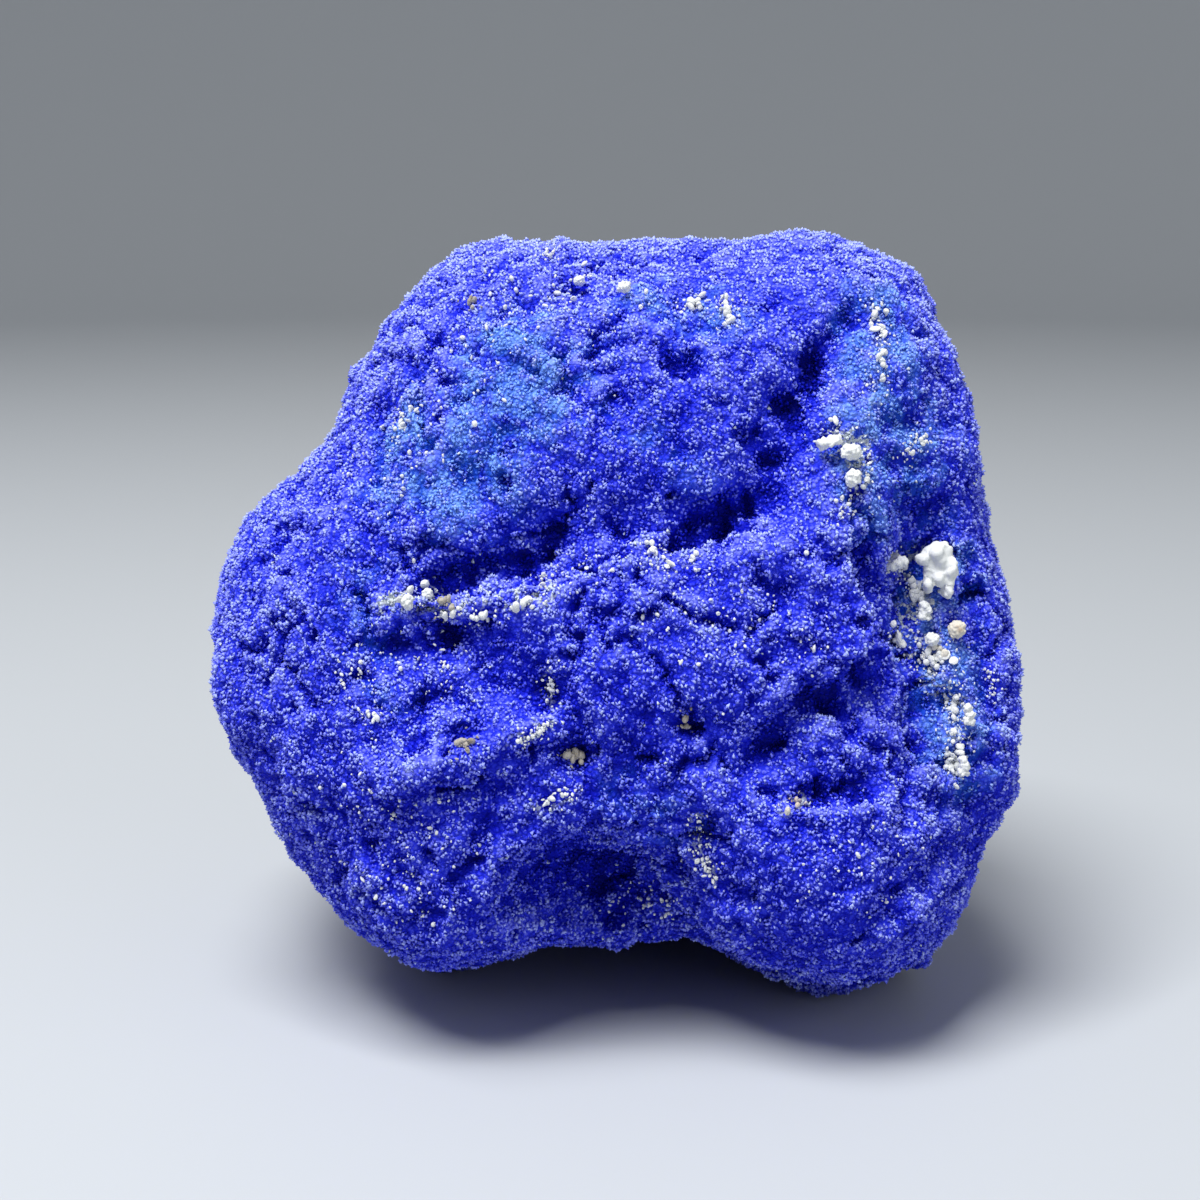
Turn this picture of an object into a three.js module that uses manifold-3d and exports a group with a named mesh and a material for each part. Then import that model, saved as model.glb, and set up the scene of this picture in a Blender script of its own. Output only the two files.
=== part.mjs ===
// An azurite specimen: one lobed nodule of grown-together crystals, with lumps of kaolin clay
// lodged in pits of its own. Millimetres, +Z up, resting plane at z = 0, front face towards -Y.
//
// The nodule swelled out from one point, its heart, so its surface is one reach from the heart
// for each direction: a plain swollen body with a hand-drawn outline, then ridges and hollows
// laid on it as strokes.
import * as THREE from "three";
import { mergeVertices } from "three/addons/utils/BufferGeometryUtils.js";
import { SimplexNoise } from "three/addons/math/SimplexNoise.js";
import Module from "manifold-3d";

const HEART_HEIGHT = 22.4; // of the heart above the resting plane
const LEAN = 12; // degrees that the broad outline's plane leans back from upright
const FRONT_DEPTH = 17.2; // from the heart to the plain front face
const BACK_DEPTH = 19.5; // from the heart to the plain back
const FRONT_SQUARENESS = 2.9; // 2 is a plain ellipsoid, more is boxier
const BACK_SQUARENESS = 2.3;
const NODULE_DETAIL = 16; // each side of the starting icosahedron is cut into this many and one more
const LUMP_DETAIL = 2; // the same for a lump of clay
const GRAIN_DETAIL = 1; // the same for a small one, less than SMALL_HALF_WIDTH across
const SMALL_HALF_WIDTH = 0.7;
const STROKE_HARDNESS = 2.4; // 2 falls off as a bell, more has a flatter top and steeper sides
const WRINKLE_SIZE = 6.5; // across one of the random swellings
const WRINKLE_HEIGHT = 0.45;
const FINE_WRINKLE = { finer: 2.3, share: 0.6, shift: 9 }; // the second, smaller size of swelling
const LUMP_KNOB_RATE = 1.6; // how many knobs a lump has, as turns of the noise per half width
const LUMP_KNOBS = 0.16; // how far a lump's knobs stand out, as a share of its half width
const SOCKET_GAP = 0.3; // between a lump of clay and its pit
const HALVINGS = 30; // of the range in which a place on the surface is looked for
const SAME_CORNER = 1e-5; // corners of a unit ball nearer than this are one

// The broad outline, as [degrees from the right, distance from the heart].
const OUTLINE = [
  [0, 22.9], // right flank
  [22, 23.3],
  [35, 25.1],
  [50, 27.4], // right crown
  [62, 26.5],
  [75, 23.5],
  [92, 22.9], // middle of the crown
  [110, 24.1], // left crown
  [128, 22.7],
  [148, 20.4], // dip at the left shoulder
  [168, 23.2],
  [190, 24.7], // left belly
  [212, 23.9],
  [240, 24.3], // left foot
  [258, 20.5],
  [270, 19.8], // notch between the feet
  [282, 20.0],
  [297, 24.3],
  [311, 27.9], // right foot
  [328, 26.0],
  [340, 25.4],
  [352, 23.8],
];

// Strokes on the front, as [what it is, height, half width, [right, up] from the heart, ...].
// A height under zero is a hollow.
const FRONT_STROKES = [
  ["central boss", 1.3, 5.5, [2.5, 0.5], [9.5, -0.3]],
  ["rim of the boss", 0.9, 1.8, [8, 4.2], [12.4, 2.4], [13.0, -1.5], [10, -3]],
  ["valley above the boss", -1.2, 1.7, [-3.8, 3.6], [1.4, 5.6], [5.1, 5.8], [8.6, 6.4]],
  ["slit above the boss", -1.0, 1.1, [3.1, 4.3], [5.4, 5.7]],
  ["pocket under the left slope", -1.6, 1.4, [-9.5, 2.2], [-5.2, 2.9]],
  ["sill under the pocket", 0.6, 1.2, [-12, 0.6], [-4, 0.9]],
  ["left belly", 1.5, 6.5, [-13, -8.5]],
  ["upper fold of the belly", -0.8, 1.5, [-13.3, -2.2], [-8, -1.2], [-4.6, -3.6]],
  ["lower fold of the belly", -0.7, 1.3, [-12, -5.4], [-5, -3.8]],
  ["brow of the belly", 0.7, 1.6, [-12, -8], [-4.2, -5.4]],
  ["left slope of the crown", 0.8, 6.5, [-7.5, 11]],
  ["middle of the crown", 0.6, 5.0, [2, 15]],
  ["groove beside the right crown", -1.3, 1.4, [13.2, 16.5], [11.3, 14], [9.6, 11.6], [8.5, 7.5]],
  ["right crown", 1.0, 4.5, [14.5, 16]],
  ["upper ledge of the right face", 0.9, 2.2, [13.6, 12], [13, 7]],
  ["right recess", -1.9, 2.6, [17.0, 3.4], [17.4, -4.5]],
  ["terrace of the right flank", 1.2, 3.2, [21.5, 0], [22, -8]],
  ["right face of the crown", 1.1, 3.6, [18.5, 12], [18.5, 7]],
  ["foot of the boss", -1.2, 1.6, [13.9, -3.6], [10.5, -5], [8.3, -7.4]],
  ["knob under the boss", 0.8, 1.8, [11.8, -6.4]],
  ["crack over the right foot", -1.1, 1.1, [8.6, -8.2], [11, -9.1], [14.4, -8.4]],
  ["right foot", 2.6, 6.5, [12, -14.5]],
  ["left foot", 1.5, 4.5, [-9.5, -16.5]],
  ["hollow between the feet", -3.3, 2.8, [-2.2, -14.6], [0.6, -16.6]],
  ["shallow side of the hollow", -1.3, 2.4, [3.2, -14.6]],
  ["lower middle", -0.7, 3.0, [-0.5, -9]],
  ["pit left of the seam", -0.8, 1.4, [-4.6, -4.2]],
];

// Strokes around the sides and back, placed as [azimuth, elevation] in degrees from the heart:
// azimuth 0 is the right, 90 the back and 180 the left.
const BACK_STROKES = [
  ["back upper lobe", 2.2, 7, [72, 32]],
  ["back left lobe", 2.4, 6.5, [130, 2]],
  ["back right lobe", 1.8, 5.5, [48, -12]],
  ["valley between the back lobes", -2.0, 2.4, [92, 14], [90, -8], [100, -24]],
  ["furrow over the back left lobe", -1.5, 2.0, [118, 42], [138, 26], [160, 18]],
  ["furrow under the back upper lobe", -1.2, 1.8, [40, 18], [62, 6], [84, 4]],
  ["back knob", 1.2, 3.0, [108, 22]],
  ["low knob", 1.0, 3.0, [128, -28]],
  ["rear foot", 3.4, 6.0, [68, -56], [106, -56]],
  ["rear sole", 2.2, 4.8, [78, -61], [94, -61]],
  ["left sole", 2.3, 3.6, [180, -67]],
  ["right sole", 1.8, 4.0, [338, -59]],
  ["left side furrow", -1.2, 1.8, [168, 30], [172, 8], [186, -14]],
  ["left side knob", 0.8, 3.0, [160, -10]],
  ["right side hollow", -1.2, 3.0, [12, 22]],
  ["right side furrow", -1.2, 1.8, [22, -2], [14, -24]],
  ["right side knob", 0.9, 3.2, [28, 34]],
  ["crown dimple", -1.0, 2.6, [60, 66], [120, 70]],
];

// Lumps of kaolin on the front, as [name, [right, up] from the heart, [half width, half height],
// how far it stands proud of its pit's rim as a share of its half width].
const KAOLIN_LUMPS = [
  ["kaolin_main_lump", [17.6, 2.75], [1.2, 1.45], 0.35],
  ["kaolin_tail_lump", [17.1, 0.5], [0.55, 0.6], 0.35],
  ["kaolin_left_lump", [15.35, 3.05], [0.7, 0.55], 0.3],
  ["kaolin_cream_bead", [18.8, -0.55], [0.55, 0.55], 0.4],
  ["kaolin_low_bead", [17.5, -1.1], [0.45, 0.42], 0.35],
  ["kaolin_upper_left_lump", [11.3, 9.5], [0.75, 0.5], 0.35],
  ["kaolin_upper_right_lump", [12.5, 8.95], [0.62, 0.55], 0.35],
  ["kaolin_upper_low_lump", [12.6, 7.55], [0.48, 0.6], 0.3],
  ["kaolin_column_upper_lump", [19.5, -5.3], [0.5, 0.6], 0.25],
  ["kaolin_column_lower_lump", [19.1, -8.1], [0.5, 0.6], 0.25],
  ["kaolin_crown_left_grain", [-2.1, 18.75], [0.5, 0.42], 0.35],
  ["kaolin_crown_right_grain", [0.35, 18.2], [0.48, 0.42], 0.35],
  ["kaolin_row_left_grain", [-11.2, 0.95], [0.45, 0.6], 0.3],
  ["kaolin_row_middle_grain", [-10.2, 1.4], [0.42, 0.45], 0.3],
];

const AZURITE_BLUE = 0x1d1fb8;
const KAOLIN_WHITE = 0xdfe1da;

const lean = THREE.MathUtils.degToRad(LEAN);
const HEART = new THREE.Vector3(0, 0, HEART_HEIGHT);
const RIGHT = new THREE.Vector3(1, 0, 0);
const TOP = new THREE.Vector3(0, Math.sin(lean), Math.cos(lean));
const FRONT = new THREE.Vector3(0, -Math.cos(lean), Math.sin(lean));

const outlineCurve = makeOutlineCurve();
const wrinkles = makeWrinkles();
const strokes = [
  ...FRONT_STROKES.map(([, height, width, ...places]) => ({
    height,
    width,
    path: places.map((place) => frontSpot(place, plainReach)),
  })),
  ...BACK_STROKES.map(([, height, width, ...places]) => ({
    height,
    width,
    path: places.map(([azimuth, elevation]) => roundSpot(azimuth, elevation, plainReach)),
  })),
];

// The outline's distance from the heart as a smooth closed curve of the angle.
function makeOutlineCurve() {
  const closed = [...OUTLINE, [OUTLINE[0][0] + 360, OUTLINE[0][1]]];
  const curve = new THREE.CubicInterpolant(
    closed.map(([angle]) => angle),
    closed.map(([, distance]) => distance),
    1,
  );
  curve.settings = {
    endingStart: THREE.WrapAroundEnding,
    endingEnd: THREE.WrapAroundEnding,
  };
  return curve;
}

// Repeatable noise for the small swellings.
function makeWrinkles() {
  let seed = 1;
  return new SimplexNoise({ random: () => THREE.MathUtils.seededRandom(seed++) });
}

// From the heart to the plain body, without strokes, along a unit direction.
function plainReach(direction) {
  const right = direction.dot(RIGHT);
  const up = direction.dot(TOP);
  const front = direction.dot(FRONT);
  const angle = THREE.MathUtils.radToDeg(Math.atan2(up, right));
  const outline = outlineCurve.evaluate(THREE.MathUtils.euclideanModulo(angle, 360))[0];
  const depth = front > 0 ? FRONT_DEPTH : BACK_DEPTH;
  const power = front > 0 ? FRONT_SQUARENESS : BACK_SQUARENESS;
  const share = (Math.hypot(right, up) / outline) ** power + (Math.abs(front) / depth) ** power;
  return share ** (-1 / power);
}

// From the heart to the nodule's surface along a unit direction.
function reach(direction) {
  const plain = plainReach(direction);
  const spot = direction.clone().multiplyScalar(plain).add(HEART);
  let extra = wrinkle(spot);
  for (const { height, width, path } of strokes) {
    const far = distanceToPath(spot, path) / width;
    extra += height * Math.exp(-(far ** STROKE_HARDNESS));
  }
  return plain + extra;
}

// The random small swellings at a place, in two sizes.
function wrinkle(spot) {
  const s = spot.clone().divideScalar(WRINKLE_SIZE);
  const coarse = wrinkles.noise3d(s.x, s.y, s.z);
  s.multiplyScalar(FINE_WRINKLE.finer);
  const fine = wrinkles.noise3d(s.x + FINE_WRINKLE.shift, s.y, s.z);
  return WRINKLE_HEIGHT * (coarse + FINE_WRINKLE.share * fine);
}

// The shortest distance from a place to a path of one or more points.
function distanceToPath(spot, path) {
  const nearest = new THREE.Vector3();
  let shortest = spot.distanceTo(path[0]);
  for (let i = 1; i < path.length; i++) {
    new THREE.Line3(path[i - 1], path[i]).closestPointToPoint(spot, true, nearest);
    shortest = Math.min(shortest, nearest.distanceTo(spot));
  }
  return shortest;
}

// The place on the front of a surface that is so far right of and above the heart.
function frontSpot([right, up], surface) {
  const foot = RIGHT.clone().multiplyScalar(right).addScaledVector(TOP, up);
  let inside = 0;
  let outside = 2 * FRONT_DEPTH;
  for (let step = 0; step < HALVINGS; step++) {
    const middle = (inside + outside) / 2;
    const offset = foot.clone().addScaledVector(FRONT, middle);
    if (offset.length() < surface(offset.clone().normalize())) {
      inside = middle;
    } else {
      outside = middle;
    }
  }
  return foot.addScaledVector(FRONT, inside).add(HEART);
}

// The place on a surface in a compass direction from the heart.
function roundSpot(azimuth, elevation, surface) {
  const direction = new THREE.Vector3().setFromSphericalCoords(
    1,
    THREE.MathUtils.degToRad(90 - elevation),
    THREE.MathUtils.degToRad(azimuth + 90),
  );
  direction.set(direction.x, -direction.z, direction.y);
  return direction.clone().multiplyScalar(surface(direction)).add(HEART);
}

// A closed ball of small triangles with shared corners, radius 1.
function makeBall(detail) {
  const ball = new THREE.IcosahedronGeometry(1, detail);
  ball.deleteAttribute("normal");
  ball.deleteAttribute("uv");
  return mergeVertices(ball, SAME_CORNER);
}

// Moves each corner of a geometry by a function of its place.
function moveCorners(geometry, move) {
  const corners = geometry.getAttribute("position");
  const corner = new THREE.Vector3();
  for (let i = 0; i < corners.count; i++) {
    corner.fromBufferAttribute(corners, i);
    move(corner);
    corners.setXYZ(i, corner.x, corner.y, corner.z);
  }
  return geometry;
}

// The whole nodule, flat where its feet meet the resting plane.
function makeNodule() {
  return moveCorners(makeBall(NODULE_DETAIL), (corner) => {
    const direction = corner.normalize();
    corner.multiplyScalar(reach(direction)).add(HEART);
    corner.z = Math.max(corner.z, 0);
  });
}

// One knobbly lump of clay, grown by some amount all over.
function makeLump([, place, [halfWidth, halfHeight], proud], grown) {
  const centre = frontSpot(place, reach);
  const outward = centre.clone().sub(HEART).normalize();
  centre.addScaledVector(outward, halfWidth * proud);
  const detail = halfWidth < SMALL_HALF_WIDTH ? GRAIN_DETAIL : LUMP_DETAIL;
  return moveCorners(makeBall(detail), (corner) => {
    const s = corner.clone().multiplyScalar(LUMP_KNOB_RATE);
    const knob = 1 + LUMP_KNOBS * wrinkles.noise3d(s.x + centre.x, s.y, s.z);
    corner.set(
      corner.x * (halfWidth * knob + grown),
      corner.y * (halfWidth * knob + grown),
      corner.z * (halfHeight * knob + grown),
    );
    corner.add(centre);
  });
}

const wasm = await Module();
wasm.setup();

// A closed geometry as a manifold-3d solid.
function solidOf(geometry) {
  return new wasm.Manifold(
    new wasm.Mesh({
      numProp: 3,
      vertProperties: geometry.getAttribute("position").array,
      triVerts: new Uint32Array(geometry.index.array),
    }),
  );
}

// A manifold-3d solid as a geometry.
function geometryOf(solid) {
  const { vertProperties, triVerts } = solid.getMesh();
  const geometry = new THREE.BufferGeometry();
  geometry.setAttribute("position", new THREE.BufferAttribute(vertProperties, 3));
  geometry.setIndex(new THREE.BufferAttribute(triVerts, 1));
  geometry.computeVertexNormals();
  return geometry;
}

// The nodule with a pit for each lump of clay.
function makePittedNodule() {
  let solid = solidOf(makeNodule());
  for (const lump of KAOLIN_LUMPS) {
    solid = solid.subtract(solidOf(makeLump(lump, SOCKET_GAP)));
  }
  return geometryOf(solid);
}

const azuriteFinish = new THREE.MeshStandardMaterial({
  color: AZURITE_BLUE,
  roughness: 0.85,
  metalness: 0,
});
const kaolinFinish = new THREE.MeshStandardMaterial({
  color: KAOLIN_WHITE,
  roughness: 0.95,
  metalness: 0,
});

const specimen = new THREE.Group();
const nodule = new THREE.Mesh(makePittedNodule(), azuriteFinish);
nodule.name = "azurite_nodule";
specimen.add(nodule);
for (const lump of KAOLIN_LUMPS) {
  const mesh = new THREE.Mesh(makeLump(lump, 0), kaolinFinish.clone());
  mesh.name = lump[0];
  specimen.add(mesh);
}

// The frame's origin is at the middle of the specimen's footprint.
const middle = new THREE.Box3().setFromObject(specimen).getCenter(new THREE.Vector3());
specimen.position.set(-middle.x, -middle.y, 0);

export default specimen;
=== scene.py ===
"""The looks of an azurite specimen: a lobed blue nodule, its crust of tiny crystals and its kaolin clay.

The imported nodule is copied, rounded and sculpted by strokes placed on its front face and around its
sides. A crust of crystals is grown on it, and the clay is lodged in its pits as lumps, grains and dust.
Places on the front face are millimetres right of and above the nodule's heart, in the plane that leans
back with the face. Places elsewhere are compass degrees around the heart.
"""

import logging
import math
import random
from collections.abc import Iterator
from contextlib import contextmanager
from dataclasses import dataclass, field
from enum import Enum

import bmesh
import bpy
import numpy as np
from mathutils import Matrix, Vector
from mathutils.bvhtree import BVHTree


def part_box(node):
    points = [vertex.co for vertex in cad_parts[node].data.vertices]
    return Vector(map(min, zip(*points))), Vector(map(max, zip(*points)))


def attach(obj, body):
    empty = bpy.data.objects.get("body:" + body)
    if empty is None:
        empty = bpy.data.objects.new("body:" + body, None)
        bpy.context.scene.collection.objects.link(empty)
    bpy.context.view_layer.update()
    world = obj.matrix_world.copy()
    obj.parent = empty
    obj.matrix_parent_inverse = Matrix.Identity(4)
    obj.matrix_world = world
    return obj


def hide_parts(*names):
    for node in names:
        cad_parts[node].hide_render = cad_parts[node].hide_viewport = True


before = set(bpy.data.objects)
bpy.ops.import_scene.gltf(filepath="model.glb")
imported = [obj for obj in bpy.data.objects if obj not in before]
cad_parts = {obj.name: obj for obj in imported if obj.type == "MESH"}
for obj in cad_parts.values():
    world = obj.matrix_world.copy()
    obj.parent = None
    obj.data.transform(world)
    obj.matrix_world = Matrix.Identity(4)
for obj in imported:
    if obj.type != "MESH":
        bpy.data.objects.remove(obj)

LOG = logging.getLogger("azurite")
MM = 0.001
ROOT = "root"
NODULE = "azurite_nodule"
DARKEST = -0.6  # tone of a pit's floor, where the painted shade is deepest
BAKE_MAP = "OFBake"  # the name of the map that colours are baked through
HEART_SHARE = 0.484  # the heart's height as a share of the nodule's
LEAN = math.radians(12)  # of the front face, back from upright
FAR = 100 * MM  # well outside the specimen
CRUST_RISE = 0.12  # millimetres by which the crust hides the body under it
STEEP_CUT = 0.8  # millimetres: a stroke that cuts this deep or deeper has steep walls
NOISE_RANGE = (0.3, 0.7)  # what most of a noise from 0 to 1 lies within
RIGHT = Vector((1, 0, 0))
TOP = Vector((0, math.sin(LEAN), math.cos(LEAN)))
FRONT = Vector((0, -math.cos(LEAN), math.sin(LEAN)))

Place = tuple[float, float]
Colour = tuple[float, float, float, float]


class Side(Enum):
    """How a stroke's places are given."""

    FACE = "right of and above the heart on the front face, in millimetres"
    ROUND = "azimuth and elevation around the heart, in degrees"
    RIM = "degrees anticlockwise from the right around the front face's outline, and millimetres forward"


class Quarter(Enum):
    """A quarter of the nodule, by the signs of its x and y seen from the heart."""

    FRONT_LEFT = (-1, -1)
    FRONT_RIGHT = (1, -1)
    BACK_LEFT = (-1, 1)
    BACK_RIGHT = (1, 1)


def deselect_all() -> None:
    """Leaves nothing selected."""
    bpy.ops.object.select_all(action="DESELECT")


def work_on(piece: bpy.types.Object) -> None:
    """Makes one piece the only selected one and the active one.

    Args:
        piece: the object that the next operators act on.
    """
    deselect_all()
    piece.select_set(True)
    bpy.context.view_layer.objects.active = piece


@contextmanager
def editing(piece: bpy.types.Object, selected: str = "DESELECT") -> Iterator[bmesh.types.BMesh]:
    """Opens a piece in edit mode, and closes it afterwards.

    Args:
        piece: the mesh object that is edited.
        selected: "SELECT" to start with all of it selected.

    Yields:
        Its corners, edges and faces.
    """
    work_on(piece)
    bpy.ops.object.mode_set(mode="EDIT")
    bpy.ops.mesh.select_all(action=selected)
    yield bmesh.from_edit_mesh(piece.data)
    bpy.ops.object.mode_set(mode="OBJECT")


def apply_modifier(piece: bpy.types.Object, kind: str, **settings: object) -> None:
    """Adds a modifier to a piece, sets it and applies it.

    Args:
        piece: the mesh object that is changed.
        kind: the modifier's type, such as "REMESH".
        **settings: the modifier's own properties by name.
    """
    work_on(piece)
    modifier = piece.modifiers.new(kind.lower(), kind)
    for name, value in settings.items():
        setattr(modifier, name, value)
    bpy.ops.object.modifier_apply(modifier=modifier.name)


def new_object(name: str, data: bpy.types.ID) -> bpy.types.Object:
    """Puts a mesh, a lamp or a camera into the scene.

    Args:
        name: what the object is called.
        data: what it shows.

    Returns:
        The object.
    """
    thing = bpy.data.objects.new(name, data)
    bpy.context.scene.collection.objects.link(thing)
    return thing


def dress(piece: bpy.types.Object, finish: bpy.types.Material) -> None:
    """Gives a piece one finish all over.

    Args:
        piece: the piece.
        finish: its material.
    """
    piece.data.materials.clear()
    piece.data.materials.append(finish)


def numbers(items: bpy.types.bpy_prop_collection, name: str, width: int) -> np.ndarray:
    """Reads one property of every item of a mesh.

    Args:
        items: the mesh's vertices, loops or the like.
        name: the property that is read.
        width: how many numbers it has.

    Returns:
        The numbers, one row to an item.
    """
    values = np.zeros(len(items) * width)
    items.foreach_get(name, values)
    return values.reshape(-1, width)


def write_attribute(mesh: bpy.types.Mesh, name: str, values: np.ndarray) -> None:
    """Stores one number for each vertex under a name that a finish can read.

    Args:
        mesh: the mesh that gets it.
        name: the attribute's name.
        values: one number for each vertex.
    """
    attribute = mesh.attributes.new(name, "FLOAT", "POINT")
    attribute.data.foreach_set("value", values.astype(np.float32))


def write_map(mesh: bpy.types.Mesh, places: np.ndarray) -> None:
    """Lays a mesh out on the map that its colours are baked through.

    Args:
        mesh: the mesh.
        places: each face corner's place on the map.
    """
    layer = mesh.uv_layers.new(name=BAKE_MAP)
    layer.data.foreach_set("uv", places.astype(np.float32).ravel())


def tile_map(mesh: bpy.types.Mesh, faces: int, rim: float) -> None:
    """Gives each run of triangles a small square of the map, which they share.

    Args:
        mesh: a mesh of triangles.
        faces: how many triangles share a square.
        rim: the square's empty edge, as a share of it.
    """
    for layer in list(mesh.uv_layers):
        mesh.uv_layers.remove(layer)
    tile = np.arange(len(mesh.polygons)) // faces
    side = math.ceil(math.sqrt(tile[-1] + 1))
    grid = np.stack([tile % side, tile // side], 1)
    triangle = np.array([[rim, rim], [1 - rim, rim], [0.5, 1 - rim]])
    write_map(mesh, (grid[:, None] + triangle) / side)


class NodeNet:
    """A node tree that is wired up one node at a time."""

    def __init__(self, tree: bpy.types.NodeTree) -> None:
        """Starts with an empty tree.

        Args:
            tree: the tree that nodes are added to.
        """
        self.tree = tree
        tree.nodes.clear()

    @classmethod
    def of_finish(cls, name: str) -> tuple[bpy.types.Material, "NodeNet"]:
        """Starts a material.

        Args:
            name: what it is called.

        Returns:
            The material and its tree.
        """
        material = bpy.data.materials.new(name)
        material.use_nodes = True
        return material, cls(material.node_tree)

    @classmethod
    def of_shape(cls, name: str) -> tuple[bpy.types.NodeSocket, "NodeNet"]:
        """Starts a tree that changes a piece's shape.

        Args:
            name: what it is called.

        Returns:
            The output that gives the shape as it was, and the tree.
        """
        tree = bpy.data.node_groups.new(name, "GeometryNodeTree")
        for way in ("INPUT", "OUTPUT"):
            tree.interface.new_socket("Geometry", in_out=way, socket_type="NodeSocketGeometry")
        net = cls(tree)
        return net.add("NodeGroupInput").outputs[0], net

    def shade(self, inputs: dict) -> None:
        """Ends a material with its shader.

        Args:
            inputs: a value or an output for each of the shader's inputs by name.
        """
        shader = self.add("ShaderNodeBsdfPrincipled", inputs)
        self.add("ShaderNodeOutputMaterial", {"Surface": shader.outputs[0]})

    def reshape(self, piece: bpy.types.Object, shape: bpy.types.NodeSocket) -> None:
        """Ends a tree of shapes and applies it.

        Args:
            piece: the piece that takes the new shape.
            shape: the output that gives it.
        """
        self.add("NodeGroupOutput", {0: shape})
        apply_modifier(piece, "NODES", node_group=self.tree)

    def add(self, kind: str, inputs: dict | None = None, **settings: object) -> bpy.types.Node:
        """Adds one node.

        Args:
            kind: the node's type name.
            inputs: a value, or the output of another node, for each input by name or number.
            **settings: the node's own properties by name.

        Returns:
            The new node.
        """
        node = self.tree.nodes.new(kind)
        for name, value in settings.items():
            setattr(node, name, value)
        for socket, value in (inputs or {}).items():
            if isinstance(value, bpy.types.NodeSocket):
                self.tree.links.new(value, node.inputs[socket])
            else:
                node.inputs[socket].default_value = value
        return node

    def noise(self, place: bpy.types.NodeSocket, size: float, detail: float) -> bpy.types.NodeSocket:
        """Adds noise from 0 to 1.

        Args:
            place: the coordinates that it reads.
            size: across one blotch, in millimetres.
            detail: how many finer layers it has.

        Returns:
            The noise.
        """
        inputs = {"Vector": place, "Scale": 1 / (size * MM), "Detail": detail}
        return self.add("ShaderNodeTexNoise", inputs).outputs[0]

    def swell(self, place: bpy.types.NodeSocket, size: float, detail: float) -> bpy.types.NodeSocket:
        """Adds noise as noise() does, but from about -1 to 1.

        Args:
            place: the coordinates that it reads.
            size: across one swelling, in millimetres.
            detail: how many finer layers it has.

        Returns:
            The noise.
        """
        return self.math("MULTIPLY", self.math("SUBTRACT", self.noise(place, size, detail), 0.5), 3.0)

    def cells(self, place: bpy.types.NodeSocket, size: float) -> bpy.types.NodeSocket:
        """Adds the distance to the nearest cell's middle.

        Args:
            place: the coordinates that it reads.
            size: across one cell, in millimetres.

        Returns:
            The distance, from 0 to about 1.
        """
        return self.add("ShaderNodeTexVoronoi", {"Vector": place, "Scale": 1 / (size * MM)}).outputs[0]

    def warp(self, place: bpy.types.NodeSocket, size: float) -> bpy.types.NodeSocket:
        """Pushes coordinates about, so that cells lose their straight edges.

        Args:
            place: the coordinates that it reads.
            size: across one swirl, in millimetres.

        Returns:
            The coordinates, moved.
        """
        colour = self.add("ShaderNodeTexNoise", {"Vector": place, "Scale": 1 / (size * MM)}).outputs[1]
        swirl = self.vector("SUBTRACT", {0: colour, 1: (0.5, 0.5, 0.5)})
        return self.vector("ADD", {0: place, 1: self.vector("SCALE", {0: swirl, "Scale": size * MM})})

    def vector(self, operation: str, inputs: dict) -> bpy.types.NodeSocket:
        """Adds a Vector Math node.

        Args:
            operation: such as "SCALE".
            inputs: a value or an output for each input by name or number.

        Returns:
            Its output.
        """
        return self.add("ShaderNodeVectorMath", inputs, operation=operation).outputs[0]

    def tint(self, name: str) -> bpy.types.NodeSocket:
        """Reads one of the numbers that a piece stores for its vertices."""
        return self.add("ShaderNodeAttribute", attribute_name=name).outputs["Fac"]

    def math(self, operation: str, first: object, second: object = 0.0) -> bpy.types.NodeSocket:
        """Adds a Math node.

        Args:
            operation: such as "MULTIPLY".
            first: a number or an output.
            second: a number or an output.

        Returns:
            Its output.
        """
        return self.add("ShaderNodeMath", {0: first, 1: second}, operation=operation).outputs[0]

    def ramp(self, value: object, low: float, high: float, to: Place = (0.0, 1.0)) -> bpy.types.NodeSocket:
        """Adds a clamped, smooth Map Range node.

        Args:
            value: the number or output that is mapped.
            low: what gives the first end of the new range.
            high: what gives the other end.
            to: both ends of the new range.

        Returns:
            Its output.
        """
        inputs = {"Value": value, "From Min": low, "From Max": high, "To Min": to[0], "To Max": to[1]}
        return self.add("ShaderNodeMapRange", inputs, interpolation_type="SMOOTHSTEP").outputs[0]

    def chance(self, kind: str, low: object, high: object, seed: int) -> bpy.types.NodeSocket:
        """Adds a seeded random value.

        Args:
            kind: "FLOAT", "INT" or "FLOAT_VECTOR".
            low: the least value.
            high: the greatest.
            seed: what makes it the same each time.

        Returns:
            The value.
        """
        node = self.add("FunctionNodeRandomValue", data_type=kind)
        used = [socket for socket in node.inputs if socket.enabled]
        used[0].default_value = low
        used[1].default_value = high
        node.inputs["Seed"].default_value = seed
        return next(socket for socket in node.outputs if socket.enabled)

    def stand(
        self, points: bpy.types.NodeSocket, shapes: list[bpy.types.Object], scale: object, turn: object
    ) -> bpy.types.NodeSocket:
        """Stands a shape picked at random on each point and makes them one mesh.

        Args:
            points: the points.
            shapes: what is picked from.
            scale: the size of each.
            turn: how far each is turned.

        Returns:
            The mesh.
        """
        kinds = self.add("GeometryNodeJoinGeometry")
        for shape in shapes:
            solid = self.add("GeometryNodeObjectInfo", {"Object": shape}).outputs["Geometry"]
            single = self.add("GeometryNodeGeometryToInstance", {0: solid}).outputs[0]
            self.tree.links.new(single, kinds.inputs[0])
        inputs = {
            "Points": points,
            "Instance": kinds.outputs[0],
            "Pick Instance": True,
            "Instance Index": self.chance("INT", 0, len(shapes) - 1, 23),
            "Rotation": turn,
            "Scale": scale,
        }
        standing = self.add("GeometryNodeInstanceOnPoints", inputs)
        return self.add("GeometryNodeRealizeInstances", {0: standing.outputs[0]}).outputs[0]

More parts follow.
